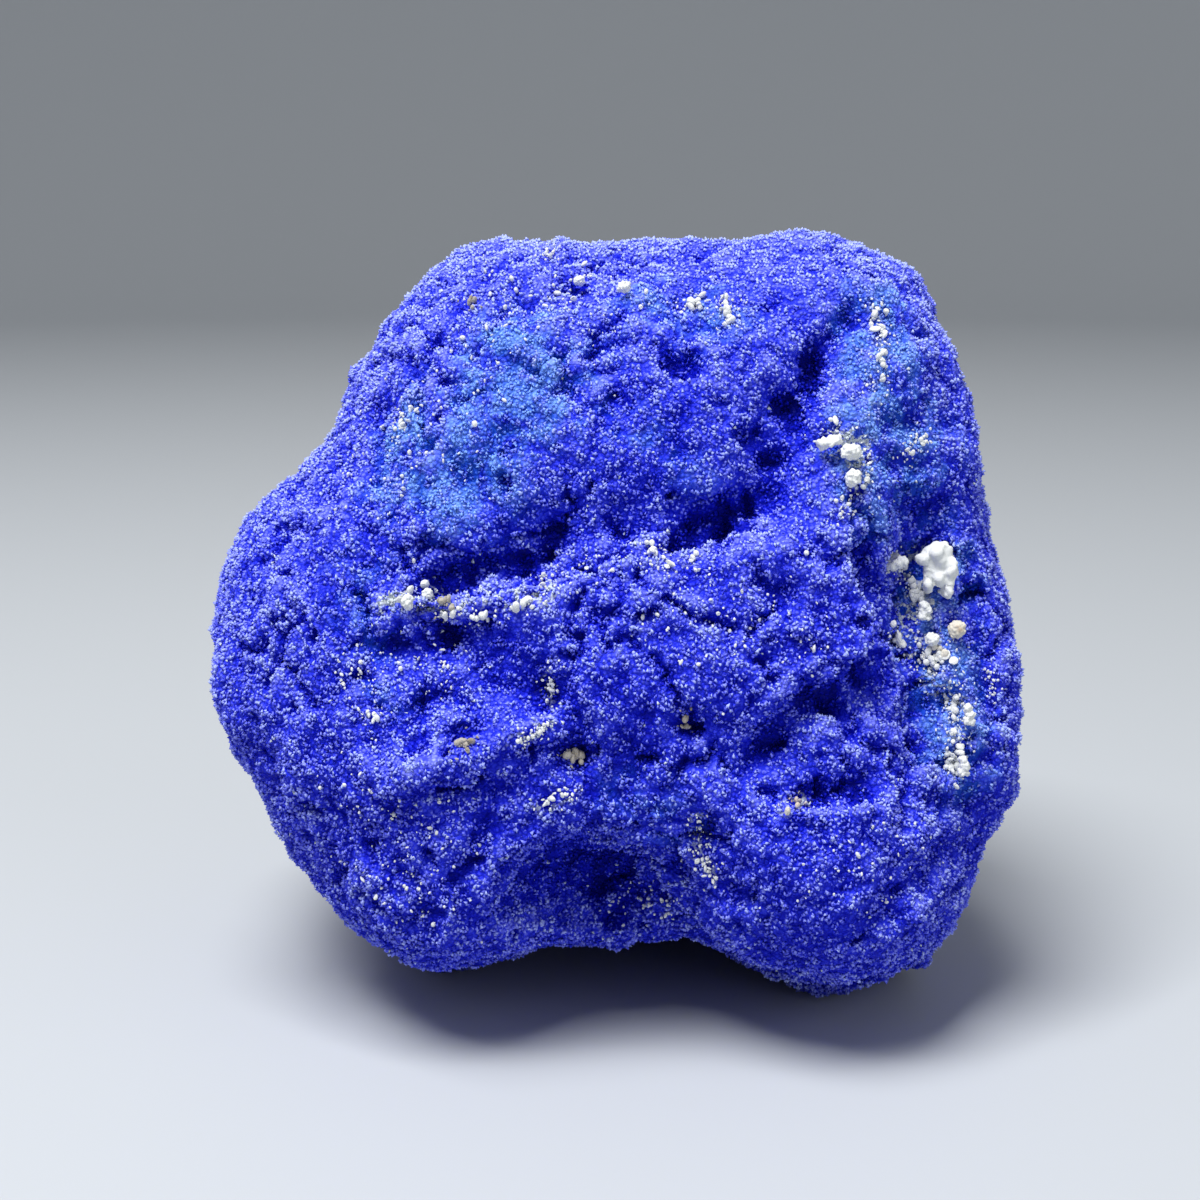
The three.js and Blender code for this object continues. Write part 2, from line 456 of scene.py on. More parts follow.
    def mix(self, share: object, first: object, second: object) -> bpy.types.NodeSocket:
        """Adds a colour Mix node.

        Args:
            share: how much of the second colour there is.
            first: a colour or an output.
            second: a colour or an output.

        Returns:
            Its colour.
        """
        node = self.add("ShaderNodeMix", {0: share, 6: first, 7: second}, data_type="RGBA")
        return node.outputs[2]


@dataclass(frozen=True)
class AzuriteFinish:
    """Azurite-blue surface whose tone follows each crystal, from painted shade in hollows to painted
    highlights on tops, with sky-blue patches and clay dust.

    It reads three numbers that each piece stores for its vertices: tone, sky and clay.
    """

    name: str
    # painted shade: the colour of the darkest tones, in pits and crevices
    pit: Colour = (0.0005, 0.003, 0.24, 1)
    blues: tuple[Colour, ...] = (
        (0.001, 0.005, 0.5, 1),  # deep
        (0.02, 0.034, 0.74, 1),
        (0.17, 0.2, 0.95, 1),
        (0.42, 0.5, 1.0, 1),  # a painted highlight on a crystal's tip or a clump's top
    )
    blue_tones: tuple[Place, ...] = ((-0.45, 0.08), (0.0, 0.35), (0.28, 0.68), (0.6, 1.08))
    skies: tuple[Colour, Colour] = ((0.01, 0.07, 0.58, 1), (0.23, 0.43, 1.0, 1))
    sky_tones: Place = (0.0, 0.75)
    sky_cover: Place = (0.15, 0.8)  # the range of the sky number over which sky blue comes in
    clay: Colour = (0.6, 0.67, 0.72, 1)
    clay_cover: Place = (0.5, 0.75)
    roughness: Place = (0.45, 0.8)
    specular: float = 0.1
    bump: float = 0.4
    grain: float = 0.16  # the finest noise, smaller than a crystal
    pebble: float = 0.0  # on bare surface, the size of the pebbles that stand in for crystals
    speckle: float = 0.12  # how far the finest texture changes the tone; on pebbles, painted light on their tops and painted shade at their edges
    drift: float = 0.08  # how far the tone changes from place to place
    shift: float = 0.0  # added to the tone

    def make(self) -> bpy.types.Material:
        """Builds the material.

        Returns:
            The material, which reads Object coordinates and the piece's own attributes.
        """
        material, net = NodeNet.of_finish(self.name)
        place = net.add("ShaderNodeTexCoord").outputs["Object"]
        fine = self.fine(net, place)
        depth = max(0.06, self.pebble) * MM
        relief = net.add("ShaderNodeBump", {"Strength": self.bump, "Distance": depth, "Height": fine})
        net.shade({
            "Base Color": self.colour(net, place, fine),
            "Roughness": net.ramp(fine, *NOISE_RANGE, self.roughness),
            "Specular IOR Level": self.specular,
            "Normal": relief.outputs[0],
        })
        return material

    def fine(self, net: NodeNet, place: bpy.types.NodeSocket) -> bpy.types.NodeSocket:
        """Adds the finest texture: noise smaller than a crystal, or pebbles the size of one.

        Args:
            net: the tree that it is added to.
            place: the coordinates that it reads.

        Returns:
            Its height, from 0 to 1.
        """
        if self.pebble == 0:
            return net.noise(place, self.grain, 2.0)
        return net.math("SUBTRACT", 0.95, net.cells(place, self.pebble))

    def colour(
        self, net: NodeNet, place: bpy.types.NodeSocket, fine: bpy.types.NodeSocket
    ) -> bpy.types.NodeSocket:
        """Mixes the blues by tone, lets sky blue in where it is patchy, and lays the dust over them.

        Args:
            net: the tree that it is added to.
            place: the coordinates that it reads.
            fine: noise finer than a crystal.

        Returns:
            The colour.
        """
        around = (self.shift - self.drift, self.shift + self.drift)
        drift = net.ramp(net.noise(place, 2.4, 4.0), *NOISE_RANGE, around)
        # On pebbles this is painted light on their tops and painted shade at their edges; otherwise random
        # noise.
        speck = net.ramp(fine, *NOISE_RANGE, (-self.speckle, self.speckle))
        tone = net.math("ADD", net.math("ADD", net.tint("tone"), drift), speck)
        # The blues follow the tone, which holds painted shade in hollows and painted light on tops as well
        # as a random spread.
        colour = self.pit
        for blue, tones in zip(self.blues, self.blue_tones):
            colour = net.mix(net.ramp(tone, *tones), colour, blue)
        pale = net.mix(net.ramp(tone, *self.sky_tones), *self.skies)
        sky = net.tint("sky")
        blotch = net.ramp(net.noise(place, 1.5, 4.0), 0.35, 0.65, (-0.5, 0.5))
        cover = net.math("ADD", sky, net.math("MULTIPLY", blotch, sky))
        colour = net.mix(net.ramp(cover, *self.sky_cover), colour, pale)
        ridge = net.math("ABSOLUTE", net.math("SUBTRACT", net.noise(place, 1.0, 3.0), 0.5))
        vein = net.ramp(ridge, 0.0, 0.16, (0.3, -0.3))
        dust = net.ramp(net.math("ADD", net.tint("clay"), vein), *self.clay_cover)
        return net.mix(dust, colour, self.clay)


@dataclass(frozen=True)
class ClayFinish:
    """Chalky kaolin, white where it is clean and cream to tan where it is stained."""

    name: str
    white: Colour = (0.69, 0.71, 0.71, 1)
    stain: Colour = (0.6, 0.6, 0.57, 1)
    stained: Place = (0.62, 0.8)  # the range of the noise over which the stain comes in
    roughness: float = 0.92
    specular: float = 0.3
    cloud_rate: float = 900.0  # blotches of stain to the metre
    chalk_rate: float = 5200.0  # bumps to the metre
    chalk_depth: float = 0.08

    def make(self) -> bpy.types.Material:
        """Builds the material.

        Returns:
            The material, which reads Object coordinates.
        """
        material, net = NodeNet.of_finish(self.name)
        place = net.add("ShaderNodeTexCoord").outputs["Object"]
        cloud, chalk = (
            net.add("ShaderNodeTexNoise", {"Vector": place, "Scale": rate, "Detail": detail}).outputs["Fac"]
            for rate, detail in ((self.cloud_rate, 5.0), (self.chalk_rate, 4.0))
        )
        depth = self.chalk_depth * MM
        relief = net.add("ShaderNodeBump", {"Strength": 0.5, "Distance": depth, "Height": chalk})
        net.shade({
            "Base Color": net.mix(net.ramp(cloud, *self.stained), self.white, self.stain),
            "Roughness": self.roughness,
            "Specular IOR Level": self.specular,
            "Normal": relief.outputs[0],
        })
        return material


class Surface:
    """Finds places on a mesh, from the front face's millimetres or from degrees around the heart."""

    def __init__(self, piece: bpy.types.Object, heart: Vector) -> None:
        """Keeps the mesh's faces for ray casts.

        Args:
            piece: the mesh object, at the origin.
            heart: the point that the nodule grew from.
        """
        mesh = piece.data
        corners = [vertex.co for vertex in mesh.vertices]
        self.tree = BVHTree.FromPolygons(corners, [tuple(face.vertices) for face in mesh.polygons])
        self.heart = heart

    def at(self, side: Side, place: Place) -> tuple[Vector, Vector]:
        """Finds one place.

        Args:
            side: how the place is given.
            place: its two numbers.

        Returns:
            The point and the surface's outward normal there.
        """
        if side is Side.FACE:
            outward = FRONT
            start = self.heart + RIGHT * place[0] * MM + TOP * place[1] * MM
        elif side is Side.RIM:
            angle = math.radians(place[0])
            outward = RIGHT * math.cos(angle) + TOP * math.sin(angle)
            start = self.heart + FRONT * place[1] * MM
        else:
            azimuth, elevation = (math.radians(angle) for angle in place)
            level = math.cos(elevation)
            outward = Vector((math.cos(azimuth) * level, math.sin(azimuth) * level, math.sin(elevation)))
            start = self.heart
        start = start + outward * FAR
        point, normal, _, _ = self.tree.ray_cast(start, -outward)
        if point is None:
            point, normal, _, _ = self.tree.find_nearest(start)
        return point, normal

    def path(self, side: Side, places: tuple[Place, ...], step: float) -> Iterator[tuple[Vector, Vector]]:
        """Walks along a path of straight stretches between places.

        Args:
            side: how the places are given.
            places: the path's corners.
            step: the distance between the points that are given out, in the places' own unit.

        Yields:
            Points on the surface with their normals.
        """
        yield self.at(side, places[0])
        for start, end in zip(places, places[1:]):
            count = max(1, round(math.dist(start, end) / step))
            for i in range(1, count + 1):
                yield self.at(side, tuple(a + (b - a) * (i / count) for a, b in zip(start, end)))


@dataclass(frozen=True)
class Stroke:
    """One pull or push of a sculptor's tool along a path, in millimetres. A height under zero cuts in."""

    what: str
    height: float
    reach: float
    places: tuple[Place, ...]
    side: Side

    @property
    def falloff(self) -> str:
        """The brush's profile: steep-walled for a deep cut and soft for all else."""
        return "SPHERE" if self.height <= -STEEP_CUT else "SMOOTH"


FACE_STROKES = (
    ("slit above the boss", -1.9, 0.8, (3.9, 4.9), (6.8, 5.9)),
    ("hole at the slit's left end", -1.3, 0.75, (2.3, 3.8), (3.6, 4.2)),
    ("pocket under the left slope", -1.2, 1.0, (-9.7, 2.1), (-7.2, 2.8), (-5.0, 3.0)),
    ("upper end of the pocket", -0.8, 1.0, (-3.8, 3.9), (-2.6, 4.6)),
    ("sill of the pocket", 0.5, 1.3, (-11.5, 0.6), (-8, 0.9), (-4.2, 1.3)),
    ("hole in the crown", -1.3, 0.75, (2.7, 14.2), (3.8, 14.0)),
    ("groove beside the right crown", -0.7, 1.1, (13.5, 16.9), (11.5, 15.2), (10.6, 13.4)),
    ("upper hole in the groove", -1.25, 0.75, (10.6, 13.2), (10.9, 12.2)),
    ("lower hole in the groove", -1.35, 0.85, (9.2, 11.4), (9.9, 11.0)),
    ("pocket left of the groove", -0.7, 0.85, (6.8, 10.2), (7.8, 9.6)),
    ("lower groove", -1.15, 0.7, (8.7, 8.8), (8.4, 7.4), (8.5, 6.2)),
    ("furrow along the boss's rim", -1.7, 1.5, (13.9, 3.6), (15, 1.2), (14.9, -1.0), (14.2, -3.4)),
    ("shade under the boss", -0.75, 1.5, (13.0, -4.1), (10.3, -4.8), (8.7, -6.3), (7.9, -7.5)),
    ("crack over the right foot", -1.4, 0.55, (9.6, -9.6), (11.6, -9.4), (13.9, -8.8)),
    ("lip over the right foot", 0.4, 1.4, (9.2, -10.5), (12, -10.5), (14.4, -9.9)),
    ("pit left of the seam", -1.2, 0.9, (-4.4, -4.3), (-3.6, -4.1)),
    ("seam", -0.7, 0.9, (-3.0, -3.6), (-1.8, -5.8), (-2.3, -7.4)),
    ("tan pit", -1.3, 1.0, (-2.7, -7.4), (-1.8, -7.8)),
    ("left tan pit", -0.8, 1.0, (-8.6, -6.8), (-7.8, -6.8)),
    ("middle tan pit", -0.8, 0.9, (3.7, -5.0), (3.8, -6.2)),
    ("hollow between the feet", -2.4, 3.0, (-4.4, -14.4), (-1.8, -15.2), (0.6, -15.8)),
    ("knob in the hollow", 0.8, 1.4, (2.6, -14.2)),
    ("left shoulder pocks", -0.8, 1.4, (-8.8, 7.4), (-7.3, 6.8)),
    ("upper fold of the belly", -0.6, 1.1, (-13.5, -1.9), (-10, -1.5), (-7.6, -0.9)),
    ("middle fold of the belly", -0.5, 1.1, (-10.8, -4.6), (-8, -4.1), (-5.6, -3.9)),
    ("brow of the belly", 0.5, 1.5, (-12.2, -8.6), (-8, -7.3), (-4.4, -5.6)),
    ("lower fold of the belly", -0.5, 1.3, (-12.5, -10.6), (-8.6, -9.6), (-5.2, -9.2)),
    ("fold to the left foot", -0.6, 1.4, (-6.6, -11.5), (-8.2, -14.4), (-7.4, -17.2)),
    ("left foot's crease", -0.5, 1.2, (-13.5, -13.2), (-11, -14.4), (-10, -17)),
    ("right foot's left edge", -0.7, 1.4, (4.5, -11.2), (4.9, -13.2), (6.2, -15.4)),
    ("right foot's diagonal", -0.7, 1.5, (12.8, -17.6), (15.6, -15.6), (18.6, -12.8)),
    ("bed of the right recess", -0.8, 1.8, (17.2, 4.9), (16.6, -1), (17.6, -6)),
    ("ledge under the main clay", 0.7, 1.2, (15.8, -3.6), (18.6, -3.2)),
    ("dent over the main clay", -0.9, 1.4, (16.2, 5.9), (18.6, 5.4)),
    ("right flank's furrow", -0.6, 1.3, (20.2, 3.5), (20.9, -1), (21.2, -5)),
    ("right face's dents", -0.7, 1.2, (14.6, 11), (16.6, 10.4)),
    ("right face's lower dents", -0.6, 1.1, (14.8, 8.4), (17.2, 8.6)),
    ("crown's left dent", -0.5, 1.6, (-9.4, 15.4), (-6.8, 14.4)),
    ("crown's middle dents", -0.4, 1.5, (-2.4, 12.6), (0.4, 11.4)),
    ("boss's pocks", -0.45, 1.3, (2.2, -0.6), (4.2, -1.4)),
    ("boss's upper knobs", 0.4, 1.5, (6.2, 3.0), (8.8, 3.2)),
    ("boss's lower pocks", -0.45, 1.3, (8.2, -2.2), (10.2, -1.8)),
)
RIM_STROKES = (
    ("dip right of the crown's right hump", -0.6, 1.7, (24, -5), (24, 5)),
    ("upper right knob", 0.35, 1.6, (16, -5), (16, 5)),
    ("crown's right hump", 0.5, 2.0, (40, -5), (41, 5)),
    ("dip in the crown", -0.5, 1.7, (72, -5), (73, 5)),
    ("dip left of the crown's middle hump", -0.6, 0.9, (93, -5), (93, 5)),
    ("crown's small hump", 0.35, 0.9, (98, -5), (98, 5)),
    ("dip left of the crown's small hump", -1.1, 1.1, (103, -5), (103, 5)),
    ("crown's left hump", 0.3, 1.8, (112, -5), (112, 5)),
    ("left slope's knob", 0.3, 1.7, (136, -5), (136, 5)),
    ("left slope's hollow", -0.75, 2.2, (153, -5), (157, 5)),
    ("dip over the belly", -0.35, 1.6, (176, -5), (176, 5)),
    ("belly's lower knob", 0.35, 1.6, (216, -5), (216, 5)),
    ("dip over the left foot", -0.45, 1.5, (224, -5), (224, 5)),
    ("left foot's knob", 0.3, 1.6, (242, -5), (242, 5)),
    ("right foot's corner", 0.8, 1.8, (312, -5), (312, 5)),
    ("right flank's dip", -0.6, 1.8, (354, -5), (358, 5)),
)
ROUND_STROKES = (
    ("back crack", -1.0, 2.6, (64, 10), (80, 18), (97, 12)),
    ("back pits", -1.1, 2.2, (112, 34), (118, 28)),
    ("back lower pits", -1.0, 2.4, (70, -22), (76, -30)),
    ("back ledge", 0.7, 2.6, (120, -6), (138, -10), (150, -4)),
    ("left side pits", -0.9, 2.2, (176, 22), (180, 12)),
    ("left side fold", -0.8, 2.2, (158, -18), (172, -26)),
    ("right side crack", -0.9, 2.2, (18, 8), (30, 2), (38, -8)),
    ("right side pits", -0.9, 2.0, (8, -20), (16, -28)),
    ("crown pits", -0.9, 2.0, (40, 62), (70, 58)),
    ("crown fold", -0.7, 2.2, (120, 60), (150, 52), (170, 44)),
)
STROKES = tuple(
    Stroke(what, height, reach, tuple(places), side)
    for side, rows in ((Side.FACE, FACE_STROKES), (Side.RIM, RIM_STROKES), (Side.ROUND, ROUND_STROKES))
    for what, height, reach, *places in rows
)


@dataclass(frozen=True)
class Patch:
    """A soft-edged patch on the surface, such as a tint of sky blue or a dusting of clay."""

    what: str
    strength: float
    radius: float
    places: tuple[Place, ...]
    side: Side


FACE_SKY_PATCHES = (
    ("left of the crown", 0.68, 3.6, (-5.6, 14.2), (-4.2, 12.6)),
    ("left slope", 0.66, 3.9, (-11, 9.2), (-8.6, 7.4)),
    ("middle of the crown", 0.42, 3.2, (2.2, 17.4), (5.4, 16.6)),
    ("right face of the crown", 0.59, 3.4, (14.6, 16.4), (14.8, 11.6), (16.8, 9.2)),
    ("under the upper clay", 0.42, 2.6, (12.6, 7.8), (13.4, 5.6)),
    ("right recess", 0.58, 3.1, (18.4, 2.4), (17.8, 0.4), (18.8, -4), (19.2, -8)),
    ("above the boss", 0.29, 2.6, (1.6, 9.2), (4.4, 8.2)),
    ("left belly", 0.29, 3.0, (-14, 1.6), (-12.6, -4.4)),
    ("lower middle", 0.29, 2.8, (0.6, -9.4), (3.4, -11.6)),
)
ROUND_SKY_PATCHES = (
    ("back upper", 0.47, 5.0, (60, 30), (78, 22)),
    ("back left", 0.42, 4.6, (135, 14), (150, 0)),
    ("back low", 0.34, 4.2, (100, -30)),
    ("left side", 0.38, 4.0, (182, 18)),
    ("right side", 0.42, 4.2, (20, 16), (26, 0)),
)
SKY_PATCHES = tuple(
    Patch(what, strength, radius, tuple(places), side)
    for side, rows in ((Side.FACE, FACE_SKY_PATCHES), (Side.ROUND, ROUND_SKY_PATCHES))
    for what, strength, radius, *places in rows
)

FACE_DUST_PATCHES = (
    ("row under the left slope", 0.5, 1.0, (-12.4, 0.9), (-8.8, 1.0), (-4.0, 1.3)),
    ("below the row", 0.16, 2.4, (-12, -1.6), (-7.2, -2.4)),
    ("centre", 0.3, 1.3, (1.4, 3.6), (3.0, 2.6), (4.4, 3.0)),
    ("left of the boss", 0.18, 1.8, (-3.2, 1.4), (-1.2, 3.0)),
    ("top left", 0.12, 4.0, (-9.6, 17), (-4.4, 17.6)),
    ("top middle", 0.3, 1.5, (4.2, 17.2), (6.2, 16.8)),
    ("left slope", 0.14, 3.0, (-12, 10.6), (-9.4, 12.4)),
    ("right face", 0.3, 1.4, (14.6, 17.4), (14.7, 15), (14.2, 12)),
    ("upper clay", 0.5, 1.3, (12.2, 9.8), (13.4, 9.2), (13.2, 7.6)),
    ("right of the upper clay", 0.26, 1.6, (16.2, 9.4), (17.6, 9.8)),
    ("main clay", 0.4, 1.6, (15.8, 3.0), (17.4, 3.2), (17.0, 0.6)),
    ("bed of the recess", 0.32, 1.6, (16.0, -1.0), (18.2, -1.2), (17.8, -3.2)),
    ("right column", 0.4, 1.4, (19.0, -4.6), (19.3, -6.2), (18.9, -8.6)),
    ("right flank", 0.18, 1.6, (21.2, -3.2)),
    ("seam", 0.3, 1.0, (-3.4, -2.8), (-3.6, -4.4)),
    ("white line over the tan pit", 0.45, 0.8, (-5.3, -6.7), (-3.5, -5.6)),
    ("white line under the tan pit", 0.4, 0.8, (-4.0, -10.2), (-2.2, -9.3)),
    ("crack over the right foot", 0.4, 0.9, (9.0, -10.2), (10.2, -10.0)),
    ("right foot's left edge", 0.35, 1.1, (4.5, -10.8), (4.7, -13.2), (5.6, -14.4)),
    ("over the notch", 0.22, 1.8, (0.4, -16.4), (3.4, -16.0)),
    ("left foot", 0.12, 3.0, (-15, -11), (-12, -14.6)),
    ("lower belly", 0.12, 3.0, (-9, -12), (-6, -13.4)),
    ("left belly", 0.1, 3.4, (-16, -5.4), (-13.6, -6.6)),
    ("right foot", 0.1, 2.6, (14, -14.4), (16.4, -11.4)),
)
ROUND_DUST_PATCHES = (
    ("back valley", 0.45, 2.2, (90, 14), (88, 2), (94, -10)),
    ("back upper furrow", 0.35, 1.8, (44, 18), (62, 7)),
    ("back left furrow", 0.3, 2.0, (120, 42), (140, 26)),
    ("left side furrow", 0.25, 2.0, (170, 26), (173, 8)),
    ("right side furrow", 0.3, 2.0, (22, -4), (15, -22)),
    ("crown", 0.16, 3.2, (60, 66), (120, 70)),
)
DUST_PATCHES = tuple(
    Patch(what, strength, radius, tuple(places), side)
    for side, rows in ((Side.FACE, FACE_DUST_PATCHES), (Side.ROUND, ROUND_DUST_PATCHES))
    for what, strength, radius, *places in rows
)


class Clay(Enum):
    """How stained a clump of clay is."""

    WHITE = "white"
    CREAM = "cream"
    TAN = "tan"


@dataclass(frozen=True)
class GrainRun:
    """A run of clay grains along a path: how many there are, their sizes and how far they stray."""

    what: str
    clay: Clay
    count: int
    sizes: Place
    stray: float
    places: tuple[Place, ...]
    side: Side


FACE_GRAIN_RUNS = (
    ("row's left end", Clay.WHITE, 5, (0.3, 0.6), 0.35, (-11.9, 1.0), (-10.2, 1.5)),
    ("row's tan clay", Clay.TAN, 6, (0.3, 0.5), 0.35, (-9.4, 0.6), (-8.5, 1.0)),
    ("row's middle", Clay.WHITE, 12, (0.2, 0.45), 0.45, (-9.4, 0.4), (-6.4, 0.3)),
    ("row's right end", Clay.WHITE, 9, (0.25, 0.55), 0.45, (-5.0, 0.7), (-4.0, 1.6)),
    ("below the row", Clay.WHITE, 12, (0.14, 0.28), 1.2, (-13.6, -2.2), (-8.0, -3.2)),
    ("left belly grains", Clay.WHITE, 8, (0.18, 0.36), 1.0, (-14.8, -2.2), (-13.2, -5.4)),
    ("centre", Clay.WHITE, 11, (0.25, 0.55), 0.4, (1.5, 3.8), (2.8, 2.6)),
    ("centre's right", Clay.WHITE, 5, (0.2, 0.38), 0.3, (4.2, 3.2), (4.4, 2.6)),
    ("left of the boss", Clay.WHITE, 9, (0.14, 0.3), 0.9, (-3.6, 2.2), (-0.4, 2.6)),
    ("top left pair", Clay.WHITE, 6, (0.2, 0.4), 0.4, (-4.0, 20.6), (-3.2, 20.6)),
    ("top middle", Clay.WHITE, 11, (0.25, 0.55), 0.4, (4.0, 17.3), (4.8, 17.2)),
    ("top middle's right", Clay.WHITE, 14, (0.25, 0.5), 0.35, (6.1, 17.6), (6.1, 16.2)),
    ("crown's tan", Clay.TAN, 5, (0.22, 0.4), 0.25, (-7.8, 17.8), (-7.7, 17.2)),
    ("left slope", Clay.WHITE, 8, (0.2, 0.4), 0.5, (-11.4, 11.4), (-11.5, 10.2)),
    ("left slope's scattered grains", Clay.WHITE, 20, (0.16, 0.34), 3.4, (-14, 5), (-8, 13)),
    ("crown's scattered grains", Clay.WHITE, 26, (0.16, 0.36), 3.4, (-8, 16), (0, 17.5)),
    ("right face's column", Clay.WHITE, 22, (0.2, 0.5), 0.4, (14.4, 17.6), (14.8, 15.2), (14.3, 12.2)),
    ("upper clay's grains", Clay.WHITE, 16, (0.18, 0.42), 0.7, (11.6, 10.2), (13.4, 9.2), (13.2, 7.2)),
    ("right of the upper clay", Clay.WHITE, 10, (0.16, 0.36), 0.6, (16.0, 9.2), (17.4, 9.8)),
    ("under the upper clay", Clay.WHITE, 7, (0.16, 0.3), 0.5, (12.6, 6.4), (12.3, 5.6)),
    ("left of the main clay", Clay.WHITE, 10, (0.3, 0.6), 0.5, (15.3, 3.6), (16.2, 2.4)),
    ("round the main clay", Clay.WHITE, 16, (0.3, 0.6), 0.7, (16.6, 2.0), (17.8, 0.8)),
    ("bed of the recess", Clay.WHITE, 28, (0.25, 0.55), 0.8, (15.6, -0.6), (17.2, -2.2), (18.6, -2.6)),
    ("bed's cream clay", Clay.CREAM, 7, (0.3, 0.55), 0.35, (17.6, -1.8), (18.4, -2.2)),
    ("right column's top", Clay.WHITE, 16, (0.2, 0.5), 0.5, (18.8, -4.2), (19.4, -5.6)),
    ("right column's foot", Clay.WHITE, 22, (0.2, 0.5), 0.6, (19.0, -6.6), (18.9, -8.8)),
    ("right flank", Clay.WHITE, 6, (0.16, 0.34), 0.4, (21.2, -3.4), (21.4, -4.4)),
    ("boss's lone grain", Clay.WHITE, 1, (0.42, 0.42), 0.0, (10.6, -1.6)),
    ("boss's scattered grains", Clay.WHITE, 18, (0.14, 0.3), 3.0, (3, -1), (11, 1)),
    ("seam", Clay.WHITE, 7, (0.18, 0.34), 0.4, (-3.3, -2.8), (-3.5, -4.6)),
    ("tan pit", Clay.TAN, 9, (0.3, 0.55), 0.3, (-2.7, -7.3), (-1.8, -7.7)),
    ("left tan pit", Clay.TAN, 7, (0.28, 0.5), 0.3, (-8.6, -6.8), (-7.7, -6.9)),
    ("middle tan pit", Clay.TAN, 6, (0.26, 0.45), 0.22, (3.7, -5.0), (3.8, -6.2)),
    ("white line over the tan pit", Clay.WHITE, 10, (0.16, 0.32), 0.2, (-5.2, -6.7), (-3.5, -5.6)),
    ("white line under the tan pit", Clay.WHITE, 10, (0.16, 0.36), 0.2, (-4.0, -10.2), (-2.2, -9.3)),
    ("crack over the right foot", Clay.CREAM, 6, (0.22, 0.42), 0.3, (9.2, -10.3), (10.2, -10.1)),
    ("right foot's left edge", Clay.WHITE, 16, (0.16, 0.34), 0.4, (4.5, -10.6), (4.7, -13.2), (5.6, -14.4)),
    ("over the notch", Clay.WHITE, 12, (0.16, 0.34), 0.9, (-0.6, -16.8), (3.6, -16.2)),
    ("lower left belly", Clay.WHITE, 14, (0.12, 0.3), 2.4, (-15, -9), (-9, -13)),
    ("left foot", Clay.WHITE, 12, (0.12, 0.28), 2.0, (-14, -13.4), (-9, -16)),
    ("right foot", Clay.WHITE, 10, (0.12, 0.28), 2.4, (10, -14), (16, -13)),
    ("left belly's far grain", Clay.WHITE, 5, (0.2, 0.36), 0.3, (-13.2, -5.2), (-13.0, -5.5)),
)
ROUND_GRAIN_RUNS = (
    ("back valley", Clay.WHITE, 46, (0.2, 0.6), 1.6, (91, 15), (89, 3), (95, -10)),
    ("back valley's cream", Clay.CREAM, 12, (0.3, 0.6), 1.2, (89, 4), (92, -4)),
    ("back upper furrow", Clay.WHITE, 22, (0.18, 0.45), 2.0, (44, 18), (62, 7)),
    ("back left furrow", Clay.WHITE, 20, (0.18, 0.45), 2.0, (120, 42), (140, 26)),
    ("back pits", Clay.TAN, 9, (0.25, 0.5), 1.5, (113, 33), (118, 29)),
    ("left side furrow", Clay.WHITE, 18, (0.16, 0.4), 2.0, (170, 26), (173, 8)),
    ("right side furrow", Clay.WHITE, 20, (0.18, 0.42), 2.0, (22, -4), (15, -22)),
    ("crown", Clay.WHITE, 16, (0.14, 0.36), 6.0, (60, 66), (120, 70)),
    ("back low", Clay.WHITE, 16, (0.16, 0.4), 5.0, (70, -25), (120, -30)),
)
GRAIN_RUNS = tuple(
    GrainRun(what, clay, count, sizes, stray, tuple(places), side)
    for side, rows in ((Side.FACE, FACE_GRAIN_RUNS), (Side.ROUND, ROUND_GRAIN_RUNS))
    for what, clay, count, sizes, stray, *places in rows
)


def patch_weights(points: np.ndarray, patches: tuple[Patch, ...], surface: Surface) -> np.ndarray:
    """Works out how strongly a set of patches covers each point.

    Args:
        points: one row of x, y and z to a point, in metres.
        patches: the patches that may cover them.
        surface: where the patches' places are found.

    Returns:
        One number from 0 to 1 for each point.
    """
    bare = np.ones(len(points))
    for patch in patches:
        radius = patch.radius * MM
        unit = 1.0 if patch.side is Side.FACE else 3.0
        cover = np.zeros(len(points))
        for spot, _ in surface.path(patch.side, patch.places, max(0.5 * patch.radius, 0.4) * unit):
            gap = np.linalg.norm(points - np.array(spot), axis=1) / radius
            cover = np.maximum(cover, np.exp(-(gap**2)))
        bare *= 1 - patch.strength * cover
    return 1 - bare


